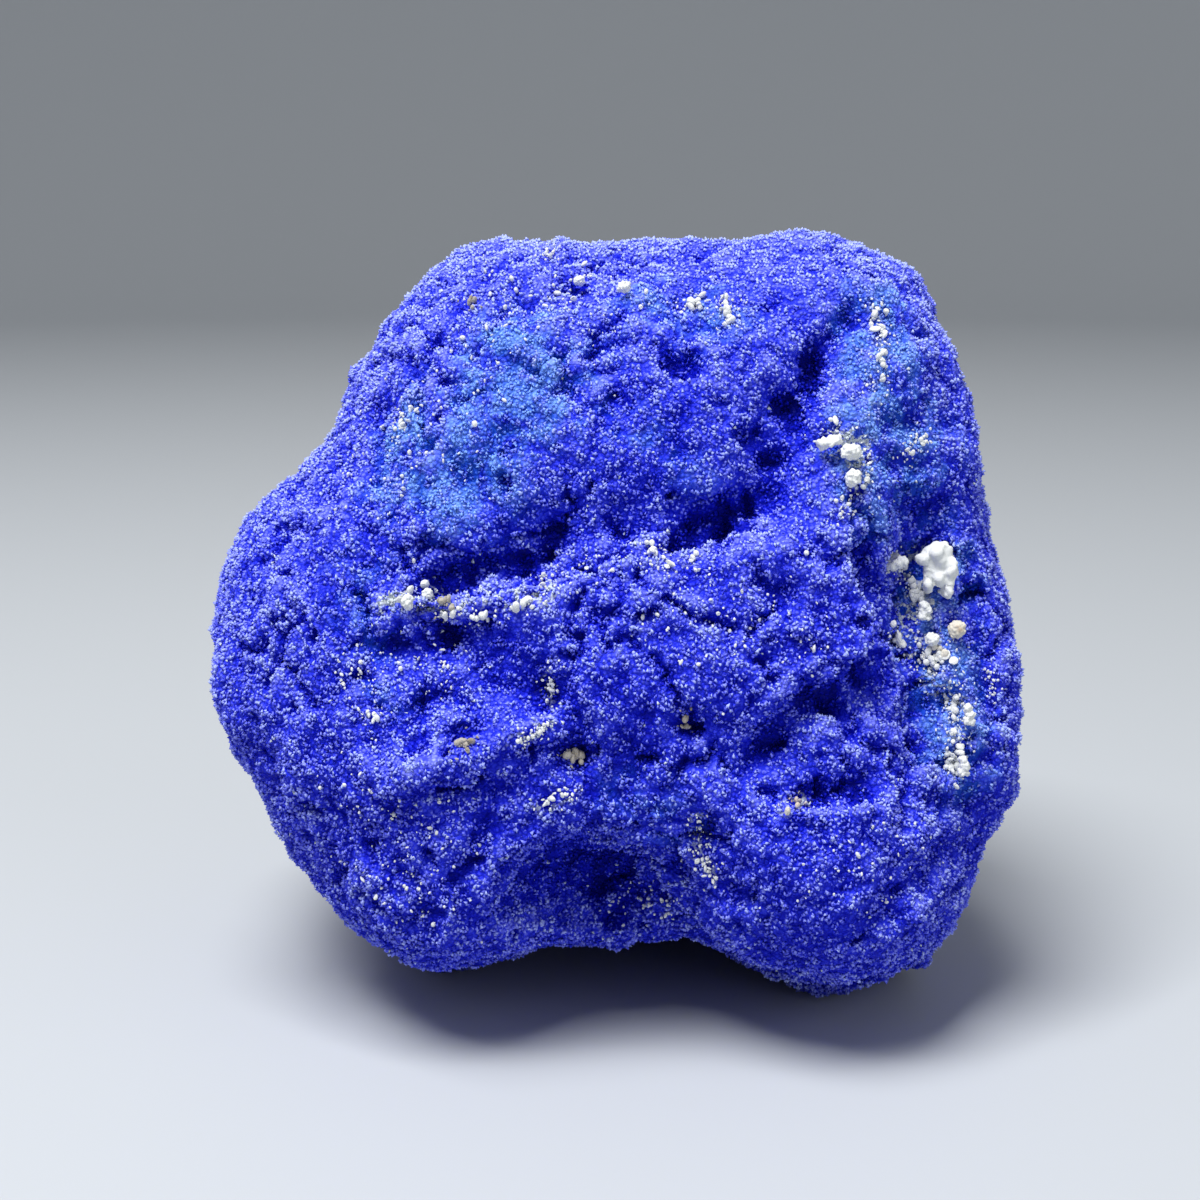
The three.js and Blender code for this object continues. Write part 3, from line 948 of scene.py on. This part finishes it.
@dataclass
class Nodule:
    """The nodule's own body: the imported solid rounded, sculpted and roughened."""

    surface_finish: AzuriteFinish
    coarse_voxel: float = 0.5
    fine_voxel: float = 0.35
    swell: Place = (4.2, 0.5)  # each pair: the size of the shapes, and their height or depth
    floret: Place = (1.7, 0.48)
    knob: Place = (0.85, 0.38)
    furrow: Place = (5.0, 0.7)
    pore: Place = (2.9, 0.7)
    sole_margin: float = 0.6  # the height over which the roughness fades in above the soles
    tone: float = 0.29  # of level crust that faces sideways
    near_rounds: int = 12  # of smoothing, for relief the size of a knob
    near_relief: float = 0.14  # what such a knob stands out
    near_painted_shading: float = 0.14  # painted light and shade: how much lighter such a knob is, and a dent that size darker
    wide_rounds: int = 90  # and the same for relief the size of a pit
    wide_relief: float = 0.45
    # painted light and shade in the same way, for relief the size of a pit
    wide_painted_shading: float = 0.06
    pit_depth: float = 0.8  # in shares of wide_relief: what is deeper than this is a pit, which gets painted shade
    # painted shade: how much darker a pit is
    pit_painted_shade: float = 0.34
    painted_top_light: float = 0.26  # painted light from above: how much lighter a face is that looks up, with painted shade on one that looks down
    # how far up a face looks where it gets no painted light or shade
    painted_light_level: float = 0.15
    seed: int = 3
    piece: bpy.types.Object = field(init=False)
    heart: Vector = field(init=False)
    floor: float = field(init=False)
    surface: Surface = field(init=False)

    def build(self) -> bpy.types.Object:
        """Makes the body and dresses it.

        Returns:
            The finished piece.
        """
        low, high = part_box(NODULE)
        self.heart = Vector((0, 0, low.z + HEART_SHARE * (high.z - low.z)))
        self.floor = low.z
        self.copy_solid()
        self.sculpt()
        self.roughen()
        self.lay_out_map()
        self.surface = Surface(self.piece, self.heart)
        self.store_tints()
        dress(self.piece, self.surface_finish.make())
        work_on(self.piece)
        bpy.ops.object.shade_smooth()
        return self.piece

    def copy_solid(self) -> None:
        """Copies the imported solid, merges its loose triangles and rounds them off."""
        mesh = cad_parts[NODULE].data.copy()
        mesh.materials.clear()
        mesh.name = "nodule_body"
        self.piece = new_object("nodule_body", mesh)
        with editing(self.piece, "SELECT"):
            bpy.ops.mesh.remove_doubles(threshold=0.001 * MM)
        apply_modifier(self.piece, "SUBSURF", levels=1, render_levels=1)
        apply_modifier(self.piece, "REMESH", mode="VOXEL", voxel_size=self.coarse_voxel * MM)

    def sculpt(self) -> None:
        """Pulls and pushes the surface along each stroke."""
        surface = Surface(self.piece, self.heart)
        with editing(self.piece):
            for stroke in STROKES:
                step = 0.5 * stroke.reach
                if stroke.side is Side.ROUND:
                    step = math.degrees(step * MM / self.heart.z)
                spots = list(surface.path(stroke.side, stroke.places, step))
                share = 1.0 if len(spots) == 1 else 0.6 if stroke.falloff == "SMOOTH" else 0.36
                for spot, normal in spots:
                    self.push(spot, normal * stroke.height * share * MM, stroke)
        apply_modifier(self.piece, "REMESH", mode="VOXEL", voxel_size=self.fine_voxel * MM)

    def push(self, spot: Vector, move: Vector, stroke: Stroke) -> None:
        """Moves the vertex nearest a spot, and its surroundings with it.

        Args:
            spot: where the tool is.
            move: how far it moves the surface.
            stroke: the stroke that it is part of.
        """
        body = bmesh.from_edit_mesh(self.piece.data)
        nearest = min(body.verts, key=lambda vertex: (vertex.co - spot).length_squared)
        nearest.select = True
        bpy.ops.transform.translate(
            value=move,
            use_proportional_edit=True,
            proportional_edit_falloff=stroke.falloff,
            proportional_size=stroke.reach * MM,
        )
        bpy.ops.mesh.select_all(action="DESELECT")

    def roughen(self) -> None:
        """Breaks the surface into swellings, florets, knobs, furrows and pores, and keeps its soles flat."""
        body, net = NodeNet.of_shape("roughen")
        place = net.add("GeometryNodeInputPosition").outputs[0]
        normal = net.add("GeometryNodeInputNormal").outputs[0]
        warped = net.warp(place, self.floret[0])
        coarse = net.ramp(net.swell(place, 9.0, 1.0), -0.6, 0.6, (0.55, 1.3))
        height = net.math("MULTIPLY", net.swell(place, self.swell[0], 3.0), self.swell[1])
        for size, depth in (self.floret, self.knob):
            round_top = net.math("MULTIPLY", net.math("POWER", net.cells(warped, size), 2.0), -depth)
            height = net.math("ADD", height, net.math("MULTIPLY", round_top, coarse))
        line = net.math("ABSOLUTE", net.swell(warped, self.furrow[0], 2.0))
        broken = net.ramp(net.swell(place, 7.0, 1.0), -0.1, 0.3)
        furrow = net.math("MULTIPLY", net.ramp(line, 0.0, 0.14, (-self.furrow[1], 0.0)), broken)
        pore = net.ramp(net.cells(warped, self.pore[0]), 0.08, 0.22, (-self.pore[1], 0.0))
        height = net.math("ADD", height, net.math("ADD", furrow, pore))
        above = net.add("ShaderNodeSeparateXYZ", {0: place}).outputs[2]
        clear = self.floor + self.sole_margin * MM
        height = net.math("MULTIPLY", height, net.ramp(above, self.floor, clear, (0, MM)))
        offset = net.vector("SCALE", {0: normal, "Scale": height})
        moved = net.add("GeometryNodeSetPosition", {"Geometry": body, "Offset": offset})
        net.reshape(self.piece, moved.outputs[0])
        self.flatten_soles()

    def flatten_soles(self) -> None:
        """Brings everything that reaches below the resting plane up to it."""
        with editing(self.piece) as body:
            for vertex in body.verts:
                vertex.co.z = max(vertex.co.z, self.floor)
            bmesh.update_edit_mesh(self.piece.data)

    def lay_out_map(self) -> None:
        """Unfolds the body onto the six sides of a cube round the heart, three by two on the map."""
        mesh = self.piece.data
        offsets = numbers(mesh.vertices, "co", 3) - np.array(self.heart)
        loops = numbers(mesh.loops, "vertex_index", 1).astype(int).ravel()
        totals = numbers(mesh.polygons, "loop_total", 1).astype(int).ravel()
        owner = np.repeat(np.arange(len(totals)), totals)
        middles = np.zeros((len(totals), 3))
        np.add.at(middles, owner, offsets[loops])
        axis = np.abs(middles).argmax(1)
        sign = np.take_along_axis(middles, axis[:, None], 1)[:, 0] < 0
        cell = 2 * axis + sign
        main = axis[owner]
        corner = offsets[loops]
        depth = np.abs(np.take_along_axis(corner, main[:, None], 1)[:, 0])
        across = np.take_along_axis(corner, ((main + 1) % 3)[:, None], 1)[:, 0] / depth
        along = np.take_along_axis(corner, ((main + 2) % 3)[:, None], 1)[:, 0] / depth
        spread = np.stack([across, along], 1) * 0.42 + 0.5
        corner_cell = cell[owner]
        grid = np.stack([corner_cell % 3, corner_cell // 3], 1)
        write_map(mesh, (grid + np.clip(spread, 0.01, 0.99)) / np.array([3, 2]))

    def store_tints(self) -> None:
        """Stores the tone, sky and clay numbers that the finish reads; the tone holds painted light and
        shade that follow the relief and the faces' lean.
        """
        mesh = self.piece.data
        points = numbers(mesh.vertices, "co", 3)
        near = self.height_over(self.near_rounds) / (self.near_relief * MM)
        wide = self.height_over(self.wide_rounds) / (self.wide_relief * MM)
        # Painted shade in pits, painted light on faces that look up with painted shade on those that look
        # down, and painted light on knobs with painted shade in dents.
        painted_pit_shade = self.pit_painted_shade * np.minimum(wide + self.pit_depth, 0)
        painted_light_from_above = self.painted_top_light * (numbers(mesh.vertices, "normal", 3)[:, 2] - self.painted_light_level)
        relief = self.near_painted_shading * near + self.wide_painted_shading * wide
        write_attribute(mesh, "tone", np.clip(self.tone + relief + painted_pit_shade + painted_light_from_above, DARKEST, 1))
        write_attribute(mesh, "sky", patch_weights(points, SKY_PATCHES, self.surface))
        write_attribute(mesh, "clay", patch_weights(points, DUST_PATCHES, self.surface))

    def height_over(self, rounds: int) -> np.ndarray:
        """Works out how far each vertex stands out of the surface smoothed around it.

        Args:
            rounds: how many times it is smoothed, which sets how wide an area counts.

        Returns:
            The height in metres, below zero in a hollow.
        """
        mesh = self.piece.data
        points = numbers(mesh.vertices, "co", 3)
        normals = numbers(mesh.vertices, "normal", 3)
        ends = numbers(mesh.edges, "vertices", 2).astype(int)
        start = np.concatenate([ends[:, 0], ends[:, 1]])
        stop = np.concatenate([ends[:, 1], ends[:, 0]])
        degree = np.maximum(np.bincount(start, minlength=len(points)), 1)
        smooth = points.copy()
        for _ in range(rounds):
            for axis in range(3):
                total = np.bincount(start, weights=smooth[stop, axis], minlength=len(points))
                smooth[:, axis] = (smooth[:, axis] + total / degree) / 2
        return ((points - smooth) * normals).sum(1)


@dataclass
class CrystalCrust:
    """The crust of tiny crystals on one quarter of the nodule."""

    quarter: Quarter
    nodule: Nodule
    finish: bpy.types.Material
    crystals: list[bpy.types.Object]
    count: int = 48000
    sizes: Place = (0.115, 0.18)
    clump: Place = (0.5, 0.34)  # the size of the clumps that crystals stand in, and their height
    tilt: float = 0.4  # the most that a crystal leans either way, in radians
    bare_below: float = 0.25  # the height below which the soles have no crystals
    tone: float = 0.58  # added to the tone at the middle of a clump, where it is painted lightest
    clump_painted_shade: float = 1.2  # painted shade: how much darker it is between clumps
    tone_spread: float = 0.12
    specks: float = 0.009  # the least share of crystals that are dusted white
    piece: bpy.types.Object = field(init=False)

    def build(self) -> bpy.types.Object:
        """Grows the crust and dresses it.

        Returns:
            The finished piece.
        """
        self.copy_quarter()
        self.grow()
        tile_map(self.piece.data, len(self.crystals[0].data.polygons), 0.04)
        self.store_tints()
        dress(self.piece, self.finish)
        work_on(self.piece)
        bpy.ops.object.shade_smooth()
        return self.piece

    def copy_quarter(self) -> None:
        """Copies the faces of the body that lie in this quarter."""
        name = "crust_" + self.quarter.name.lower()
        mesh = self.nodule.piece.data.copy()
        mesh.name = name
        self.piece = new_object(name, mesh)
        heart = self.nodule.heart
        x_sign, y_sign = self.quarter.value
        with editing(self.piece) as body:
            for face in body.faces:
                middle = face.calc_center_median() - heart
                away = (middle.x >= 0) != (x_sign > 0) or (middle.y >= 0) != (y_sign > 0)
                underneath = middle.z + heart.z < self.nodule.floor + self.bare_below * MM
                face.select = away or underneath
            bmesh.update_edit_mesh(mesh)
            bpy.ops.mesh.delete(type="FACE")

    def grow(self) -> None:
        """Sets crystals at random over the quarter and makes them one mesh."""
        area = sum(face.area for face in self.piece.data.polygons)
        body, net = NodeNet.of_shape("grow_" + self.piece.name)
        spots = net.add(
            "GeometryNodeDistributePointsOnFaces",
            {"Mesh": body, "Density": self.count / area, "Seed": 11},
        )
        place = net.add("GeometryNodeInputPosition").outputs[0]
        warped = net.warp(place, self.clump[0])
        cell = net.math("POWER", net.cells(warped, self.clump[0]), 2.0)
        rise = net.math("MULTIPLY", net.math("SUBTRACT", 0.5, cell), self.clump[1] * MM)
        lift = net.vector("SCALE", {0: spots.outputs["Normal"], "Scale": rise})
        noted = net.add(
            "GeometryNodeStoreNamedAttribute",
            {"Geometry": spots.outputs["Points"], "Name": "cell", "Value": cell},
        )
        raised = net.add("GeometryNodeSetPosition", {"Geometry": noted.outputs[0], "Offset": lift})
        growth = net.math("POWER", net.chance("FLOAT", 0.0, 1.0, 22), 2.0)
        size = net.add(
            "ShaderNodeMapRange",
            {"Value": growth, "To Min": self.sizes[0] * MM, "To Max": self.sizes[1] * MM},
        ).outputs[0]
        tilt = self.tilt
        lean = net.chance("FLOAT_VECTOR", (-tilt, -tilt, 0), (tilt, tilt, math.tau), 21)
        turn = net.add(
            "FunctionNodeRotateRotation",
            {"Rotation": spots.outputs["Rotation"], "Rotate By": lean},
            rotation_space="LOCAL",
        ).outputs[0]
        net.reshape(self.piece, net.stand(raised.outputs[0], self.crystals, size, turn))

    def store_tints(self) -> None:
        """Varies the tone of each crystal, with painted shade between clumps and a random spread, and dusts
        some with clay.
        """
        mesh = self.piece.data
        corners = len(self.crystals[0].data.vertices)
        chance = np.random.default_rng(self.nodule.seed + list(Quarter).index(self.quarter))
        tone, sky, clay, cell = (self.mean_of(name, corners) for name in ("tone", "sky", "clay", "cell"))
        # painted shade towards the clumps' edges, lightest at their middles, plus a random spread
        tone = tone + self.tone - self.clump_painted_shade * cell + chance.normal(0, self.tone_spread, len(tone))
        tone = np.clip(tone, DARKEST, 1.1)
        sky = np.clip(sky * chance.uniform(0.5, 1.3, len(sky)), 0, 1)
        clay = clay * chance.uniform(0.5, 1.25, len(clay)) ** 1.5
        dusted = chance.random(len(clay)) < self.specks * (0.3 + 3 * clay)
        clay = np.where(dusted, chance.uniform(0.75, 1.1, len(clay)), clay)
        for name, values in (("tone", tone), ("sky", sky), ("clay", clay)):
            mesh.attributes.remove(mesh.attributes[name])
            write_attribute(mesh, name, np.repeat(values, corners))

    def mean_of(self, name: str, corners: int) -> np.ndarray:
        """Reads one of the body's numbers where each crystal grew.

        Args:
            name: the number's name.
            corners: how many corners a crystal has.

        Returns:
            One number for each crystal.
        """
        return numbers(self.piece.data.attributes[name].data, "value", 1).reshape(-1, corners).mean(1)


@dataclass(frozen=True)
class CrystalHabit:
    """One habit of azurite crystal, as stretches of a three-sided pyramid of radius 1."""

    name: str
    stretch: tuple[float, float, float]
    lean: tuple[float, float, float]

    def build(self) -> bpy.types.Object:
        """Models one crystal.

        Returns:
            The crystal, at the origin.
        """
        deselect_all()
        bpy.ops.mesh.primitive_cone_add(vertices=3, radius1=1, depth=1.25)
        crystal = bpy.context.object
        crystal.name = self.name
        with editing(crystal, "SELECT"):
            bpy.ops.transform.resize(value=self.stretch)
            bpy.ops.mesh.select_all(action="DESELECT")
            body = bmesh.from_edit_mesh(crystal.data)
            top = max(body.verts, key=lambda vertex: vertex.co.z)
            top.select = True
            bpy.ops.transform.translate(value=self.lean)
            bpy.ops.mesh.select_all(action="SELECT")
            bpy.ops.mesh.normals_make_consistent(inside=False)
        return crystal


HABITS = (
    CrystalHabit("blocky_crystal", (1.0, 0.95, 1.0), (0.2, 0.1, 0.0)),
    CrystalHabit("bladed_crystal", (1.25, 0.7, 1.05), (-0.2, 0.1, 0.0)),
    CrystalHabit("stubby_crystal", (0.9, 1.15, 0.85), (0.1, -0.25, 0.0)),
)


@dataclass(frozen=True)
class Knob:
    """One round knob of a clay lump, in shares of the lump's half size: right, up, out and its own size."""

    right: float
    up: float
    out: float
    half: tuple[float, float, float]


MAIN_KNOBS = (
    Knob(0.04, 0.5, 0.1, (0.6, 0.42, 0.62)),
    Knob(0.52, -0.05, 0.12, (0.4, 0.58, 0.5)),
    Knob(-0.66, 0.34, 0.1, (0.32, 0.24, 0.42)),
    Knob(-0.32, 0.08, 0.02, (0.3, 0.34, 0.5)),
    Knob(0.12, -0.28, 0.06, (0.28, 0.42, 0.5)),
    Knob(0.46, -0.78, 0.0, (0.24, 0.26, 0.4)),
    Knob(-0.42, -0.6, 0.0, (0.24, 0.26, 0.42)),
    Knob(0.2, 0.72, 0.3, (0.3, 0.22, 0.3)),
)
PAIR_KNOBS = (
    Knob(-0.38, -0.12, 0.0, (0.55, 0.6, 0.6)),
    Knob(0.42, 0.22, 0.0, (0.5, 0.58, 0.6)),
    Knob(0.05, -0.1, 0.3, (0.4, 0.4, 0.4)),
)
TALL_KNOBS = (
    Knob(-0.1, 0.52, 0.0, (0.55, 0.42, 0.6)),
    Knob(0.22, -0.02, 0.1, (0.5, 0.42, 0.55)),
    Knob(-0.24, -0.5, 0.0, (0.5, 0.42, 0.55)),
    Knob(0.36, -0.62, -0.1, (0.34, 0.3, 0.4)),
)
BEAD_KNOBS = (
    Knob(0.0, 0.0, 0.0, (0.86, 0.86, 0.86)),
    Knob(0.38, 0.26, 0.2, (0.46, 0.46, 0.46)),
    Knob(-0.34, -0.3, 0.16, (0.5, 0.46, 0.5)),
)
KNOBS = {
    "kaolin_main_lump": MAIN_KNOBS,
    "kaolin_left_lump": PAIR_KNOBS,
    "kaolin_tail_lump": TALL_KNOBS,
    "kaolin_upper_left_lump": PAIR_KNOBS,
    "kaolin_column_upper_lump": TALL_KNOBS,
    "kaolin_column_lower_lump": TALL_KNOBS,
}


# How a lump is dented: the texture, its size and its strength, in shares of the lump's half size.
CRUMPLES = (("CLOUDS", 0.5, 0.2), ("VORONOI", 0.42, -0.26), ("CLOUDS", 0.12, 0.07))


@dataclass
class ClayLump:
    """One larger lump of kaolin, a clump of knobs grown together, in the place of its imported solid."""

    node: str
    finish: bpy.types.Material
    size: float = 1.0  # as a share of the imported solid's
    piece: bpy.types.Object = field(init=False)

    def build(self) -> bpy.types.Object:
        """Models the lump and dresses it.

        Returns:
            The finished piece.
        """
        low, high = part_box(self.node)
        centre = (low + high) / 2
        half = (high - low) / 2 * self.size
        self.piece = self.knob(centre, half * 0.5)
        for knob in KNOBS.get(self.node, BEAD_KNOBS):
            place = centre + RIGHT * knob.right * half.x + TOP * knob.up * half.z + FRONT * knob.out * half.y
            right, up, out = knob.half
            self.join(self.knob(place, Vector((right * half.x, out * half.y, up * half.z))))
        apply_modifier(self.piece, "REMESH", mode="VOXEL", voxel_size=min(half) / 12)
        self.crumple(max(half))
        self.piece.name = self.node.replace("kaolin", "clay")
        dress(self.piece, self.finish)
        bpy.ops.object.shade_smooth()
        return self.piece

    def knob(self, place: Vector, half: Vector) -> bpy.types.Object:
        """Adds one knob, with its place and size in its mesh.

        Args:
            place: its middle.
            half: half its size each way.

        Returns:
            The knob.
        """
        deselect_all()
        bpy.ops.mesh.primitive_ico_sphere_add(subdivisions=3, radius=1, location=place)
        knob = bpy.context.object
        knob.scale = half
        bpy.ops.object.transform_apply(location=True, rotation=True, scale=True)
        return knob

    def join(self, knob: bpy.types.Object) -> None:
        """Joins a knob to the lump.

        Args:
            knob: the knob, which becomes part of the lump's mesh.
        """
        knob.select_set(True)
        self.piece.select_set(True)
        bpy.context.view_layer.objects.active = self.piece
        bpy.ops.object.join()

    def crumple(self, size: float) -> None:
        """Softens the seams between knobs, then dents and roughens the lump.

        Args:
            size: the lump's half size, in metres.
        """
        apply_modifier(self.piece, "SMOOTH", factor=0.5, iterations=2)
        for kind, share, strength in CRUMPLES:
            cloud = bpy.data.textures.new(self.node, kind)
            cloud.noise_scale = size * share
            apply_modifier(
                self.piece, "DISPLACE", texture=cloud, texture_coords="LOCAL", strength=size * strength
            )


class CrumbShape(Enum):
    """A kind of crumb that clay falls into: its stretch, its roughness and how many faces it has."""

    NUT = ((1.0, 0.92, 0.86), 0.14, 2)
    BEAN = ((1.35, 0.8, 0.75), 0.16, 2)
    FLAKE = ((1.1, 1.0, 0.5), 0.3, 2)
    DUST = ((1.2, 1.0, 0.7), 0.35, 1)

    def build(self) -> bpy.types.Object:
        """Models one crumb of about radius 1.

        Returns:
            The crumb, at the origin.
        """
        stretch, roughness, subdivisions = self.value
        deselect_all()
        bpy.ops.mesh.primitive_ico_sphere_add(subdivisions=subdivisions, radius=1)
        crumb = bpy.context.object
        crumb.name = "crumb_" + self.name.lower()
        with editing(crumb, "SELECT"):
            bpy.ops.transform.resize(value=stretch)
            bpy.ops.transform.vertex_random(offset=roughness, seed=4)
        return crumb


@dataclass
class ClayGrains:
    """All the small grains of one kind of clay with the dust around them, as one mesh."""

    clay: Clay
    nodule: Nodule
    finish: bpy.types.Material
    seed: int
    dust_count: int  # specks of dust to a grain
    sink: float = 0.3  # how deep a grain sits, as a share of its half size
    dust_sizes: Place = (0.1, 0.2)
    dust_stray: float = 0.45
    piece: bpy.types.Object = field(init=False)

    def build(self) -> bpy.types.Object:
        """Sets the grains out and dresses them.

        Returns:
            The finished piece.
        """
        chance = random.Random(self.seed)
        grains = self.scatter(chance, 1, 0.0)
        dust = self.scatter(chance, self.dust_count, self.dust_stray, self.dust_sizes)
        name = "clay_grains_" + self.clay.value
        self.piece = self.set_out(name, grains, (CrumbShape.NUT, CrumbShape.BEAN, CrumbShape.FLAKE))
        specks = self.set_out(name + "_dust", dust, (CrumbShape.DUST,))
        work_on(self.piece)
        specks.select_set(True)
        bpy.ops.object.join()
        tile_map(self.piece.data, 1, 0.05)
        dress(self.piece, self.finish)
        return self.piece

    def scatter(
        self, chance: random.Random, each: int, stray: float, sizes: Place | None = None
    ) -> list[tuple[Vector, float]]:
        """Finds places for the grains, or for the specks of dust around them.

        Args:
            chance: the seeded source of numbers.
            each: how many there are to a grain.
            stray: how much further than the grains they may lie, in millimetres.
            sizes: how wide they are, where that isn't the run's own sizes.

        Returns:
            A place and a half size for each, in metres.
        """
        return [
            self.settle(run, run.stray + stray, chance.uniform(*(sizes or run.sizes)), chance)
            for run in GRAIN_RUNS
            if run.clay is self.clay
            for _ in range(run.count * each)
        ]

    def settle(
        self, run: GrainRun, stray: float, size: float, chance: random.Random
    ) -> tuple[Vector, float]:
        """Lays one grain on the nodule near a run's path.

        Args:
            run: the run of grains.
            stray: how far from the path it may lie.
            size: how wide it is, in millimetres.
            chance: the seeded source of numbers.

        Returns:
            Its place and half size, in metres.
        """
        stretch = chance.randrange(max(1, len(run.places) - 1))
        start, end = run.places[stretch], run.places[min(stretch + 1, len(run.places) - 1)]
        share = chance.random()
        place = tuple(a + (b - a) * share + chance.gauss(0, stray / 2) for a, b in zip(start, end))
        spot, normal = self.nodule.surface.at(run.side, place)
        half = size / 2 * MM
        return spot + normal * (half * (1 - self.sink) + CRUST_RISE * MM), half

    def set_out(
        self, name: str, grains: list[tuple[Vector, float]], shapes: tuple[CrumbShape, ...]
    ) -> bpy.types.Object:
        """Puts a turned and stretched crumb on each place and makes them one mesh.

        Args:
            name: what the mesh is called.
            grains: the crumbs' places and half sizes.
            shapes: the kinds of crumb, picked at random.

        Returns:
            The mesh's object.
        """
        mesh = bpy.data.meshes.new(name)
        mesh.from_pydata([spot for spot, _ in grains], [], [])
        write_attribute(mesh, "size", np.array([half for _, half in grains]))
        piece = new_object(name, mesh)
        crumbs = [shape.build() for shape in shapes]
        spots, net = NodeNet.of_shape("set_out_" + name)
        points = net.add("GeometryNodeMeshToPoints", {"Mesh": spots}).outputs[0]
        size = net.add("GeometryNodeInputNamedAttribute", {"Name": "size"}, data_type="FLOAT").outputs[0]
        stretch = net.chance("FLOAT_VECTOR", (0.75, 0.75, 0.75), (1.25, 1.25, 1.25), 31)
        scale = net.vector("SCALE", {0: stretch, "Scale": size})
        turn = net.chance("FLOAT_VECTOR", (0, 0, 0), (math.tau, math.tau, math.tau), 21)
        net.reshape(piece, net.stand(points, crumbs, scale, turn))
        for crumb in crumbs:
            bpy.data.objects.remove(crumb)
        return piece


@dataclass(frozen=True)
class Lamp:
    """A square soft lamp: its place and side in metres, its power in watts and its colour."""

    name: str
    place: tuple[float, float, float]
    side: float
    power: float
    colour: tuple[float, float, float]


@dataclass
class Studio:
    """The plain floor, the soft lights and the camera."""

    heart: Vector
    camera_distance: float = 125.0
    lens: float = 60.0
    aim: Place = (-0.8, 0.95)  # right of and above the heart
    floor_radius: float = 1.0  # in metres
    floor_colour: Colour = (0.485, 0.515, 0.55, 1)
    room_colour: Colour = (0.78, 0.8, 0.84, 1)
    room_strength: float = 0.28
    lamps: tuple[Lamp, ...] = (
        Lamp("window", (-0.12, -0.17, 0.49), 0.26, 4.2, (1.0, 0.99, 0.97)),
        Lamp("bounce", (0.45, -0.35, 0.22), 0.5, 0.7, (0.92, 0.95, 1.0)),
    )

    def build(self) -> None:
        """Sets up everything that isn't the specimen."""
        self.add_camera()
        self.add_floor()
        for lamp in self.lamps:
            self.add_lamp(lamp)
        world = bpy.data.worlds.new("pale_room")
        bpy.context.scene.world = world
        world.use_nodes = True
        background = world.node_tree.nodes["Background"]
        background.inputs["Color"].default_value = self.room_colour
        background.inputs["Strength"].default_value = self.room_strength
        bpy.context.scene.view_settings.view_transform = "Standard"

    def add_camera(self) -> None:
        """Adds the camera, square to the leaning face."""
        data = bpy.data.cameras.new("camera")
        data.lens = self.lens
        data.clip_start = 0.01
        camera = new_object("camera", data)
        target = self.heart + RIGHT * self.aim[0] * MM + TOP * self.aim[1] * MM
        camera.location = target + FRONT * self.camera_distance * MM
        camera.rotation_euler = (math.pi / 2 - LEAN, 0, 0)
        bpy.context.scene.camera = camera

    def add_floor(self) -> None:
        """Adds a wide round floor that curves up all round the specimen."""
        deselect_all()
        bpy.ops.mesh.primitive_circle_add(vertices=96, radius=self.floor_radius, fill_type="NGON")
        floor = bpy.context.object
        floor.name = "floor"
        with editing(floor, "SELECT"):
            bpy.ops.mesh.region_to_loop()
            bpy.ops.mesh.extrude_region_move(TRANSFORM_OT_translate={"value": (0, 0, self.floor_radius / 2)})
            bpy.ops.mesh.select_all(action="DESELECT")
            body = bmesh.from_edit_mesh(floor.data)
            for edge in body.edges:
                if all(vertex.co.z < 0.1 * self.floor_radius for vertex in edge.verts):
                    edge.select = True
            bpy.ops.mesh.bevel(offset=0.4 * self.floor_radius, segments=16)
            bpy.ops.mesh.select_all(action="DESELECT")
            body = bmesh.from_edit_mesh(floor.data)
            middle = max(body.faces, key=lambda face: face.calc_area())
            middle.select = True
            bpy.ops.mesh.inset(thickness=0.2 * self.floor_radius)
        bpy.ops.object.shade_smooth()
        material, net = NodeNet.of_finish("pale_floor")
        net.shade({"Base Color": self.floor_colour, "Roughness": 0.6})
        dress(floor, material)

    def add_lamp(self, lamp: Lamp) -> None:
        """Adds a lamp that faces the specimen.

        Args:
            lamp: which.
        """
        data = bpy.data.lights.new(lamp.name, "AREA")
        data.size = lamp.side
        data.energy = lamp.power
        data.color = lamp.colour
        light = new_object(lamp.name, data)
        light.location = lamp.place
        light.rotation_euler = (self.heart - light.location).to_track_quat("-Z", "Y").to_euler()


def show_up(piece: bpy.types.Object) -> None:
    """Fixes a finished piece to the specimen's body and reports it.

    Args:
        piece: the finished piece.
    """
    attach(piece, ROOT)
    LOG.info("%s: %d faces", piece.name, len(piece.data.polygons))


def main() -> None:
    """Builds the specimen and its studio."""
    logging.basicConfig(level=logging.INFO, format="%(name)s: %(message)s")
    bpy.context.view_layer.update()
    # The body's shift of -0.07 is painted shade that darkens it in the gaps between crystals.
    nodule = Nodule(AzuriteFinish("azurite_body", bump=0.9, pebble=0.24, shift=-0.07))
    show_up(nodule.build())
    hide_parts(NODULE)

    crystals = [habit.build() for habit in HABITS]
    crust_finish = AzuriteFinish("azurite_crystals").make()
    for quarter in Quarter:
        show_up(CrystalCrust(quarter, nodule, crust_finish, crystals).build())
    for crystal in crystals:
        bpy.data.objects.remove(crystal)

    white = ClayFinish("kaolin_white").make()
    cream = ClayFinish("kaolin_cream", (0.62, 0.59, 0.52, 1), (0.5, 0.36, 0.24, 1), (0.5, 0.75)).make()
    tan = ClayFinish("kaolin_tan", (0.4, 0.37, 0.32, 1), (0.27, 0.23, 0.17, 1), (0.45, 0.7)).make()
    finishes = {Clay.WHITE: white, Clay.CREAM: cream, Clay.TAN: tan}
    lump_nodes = [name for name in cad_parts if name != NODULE]
    for node in sorted(lump_nodes):
        lump = ClayLump(node, cream if "cream" in node else white, 0.85 if "grain" in node else 1.0)
        show_up(lump.build())
        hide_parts(node)
    for seed, clay in enumerate(Clay):
        dust_count = 3 if clay is Clay.WHITE else 1
        show_up(ClayGrains(clay, nodule, finishes[clay], seed, dust_count).build())

    Studio(nodule.heart).build()
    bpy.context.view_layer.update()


if __name__ == "__main__":
    main()
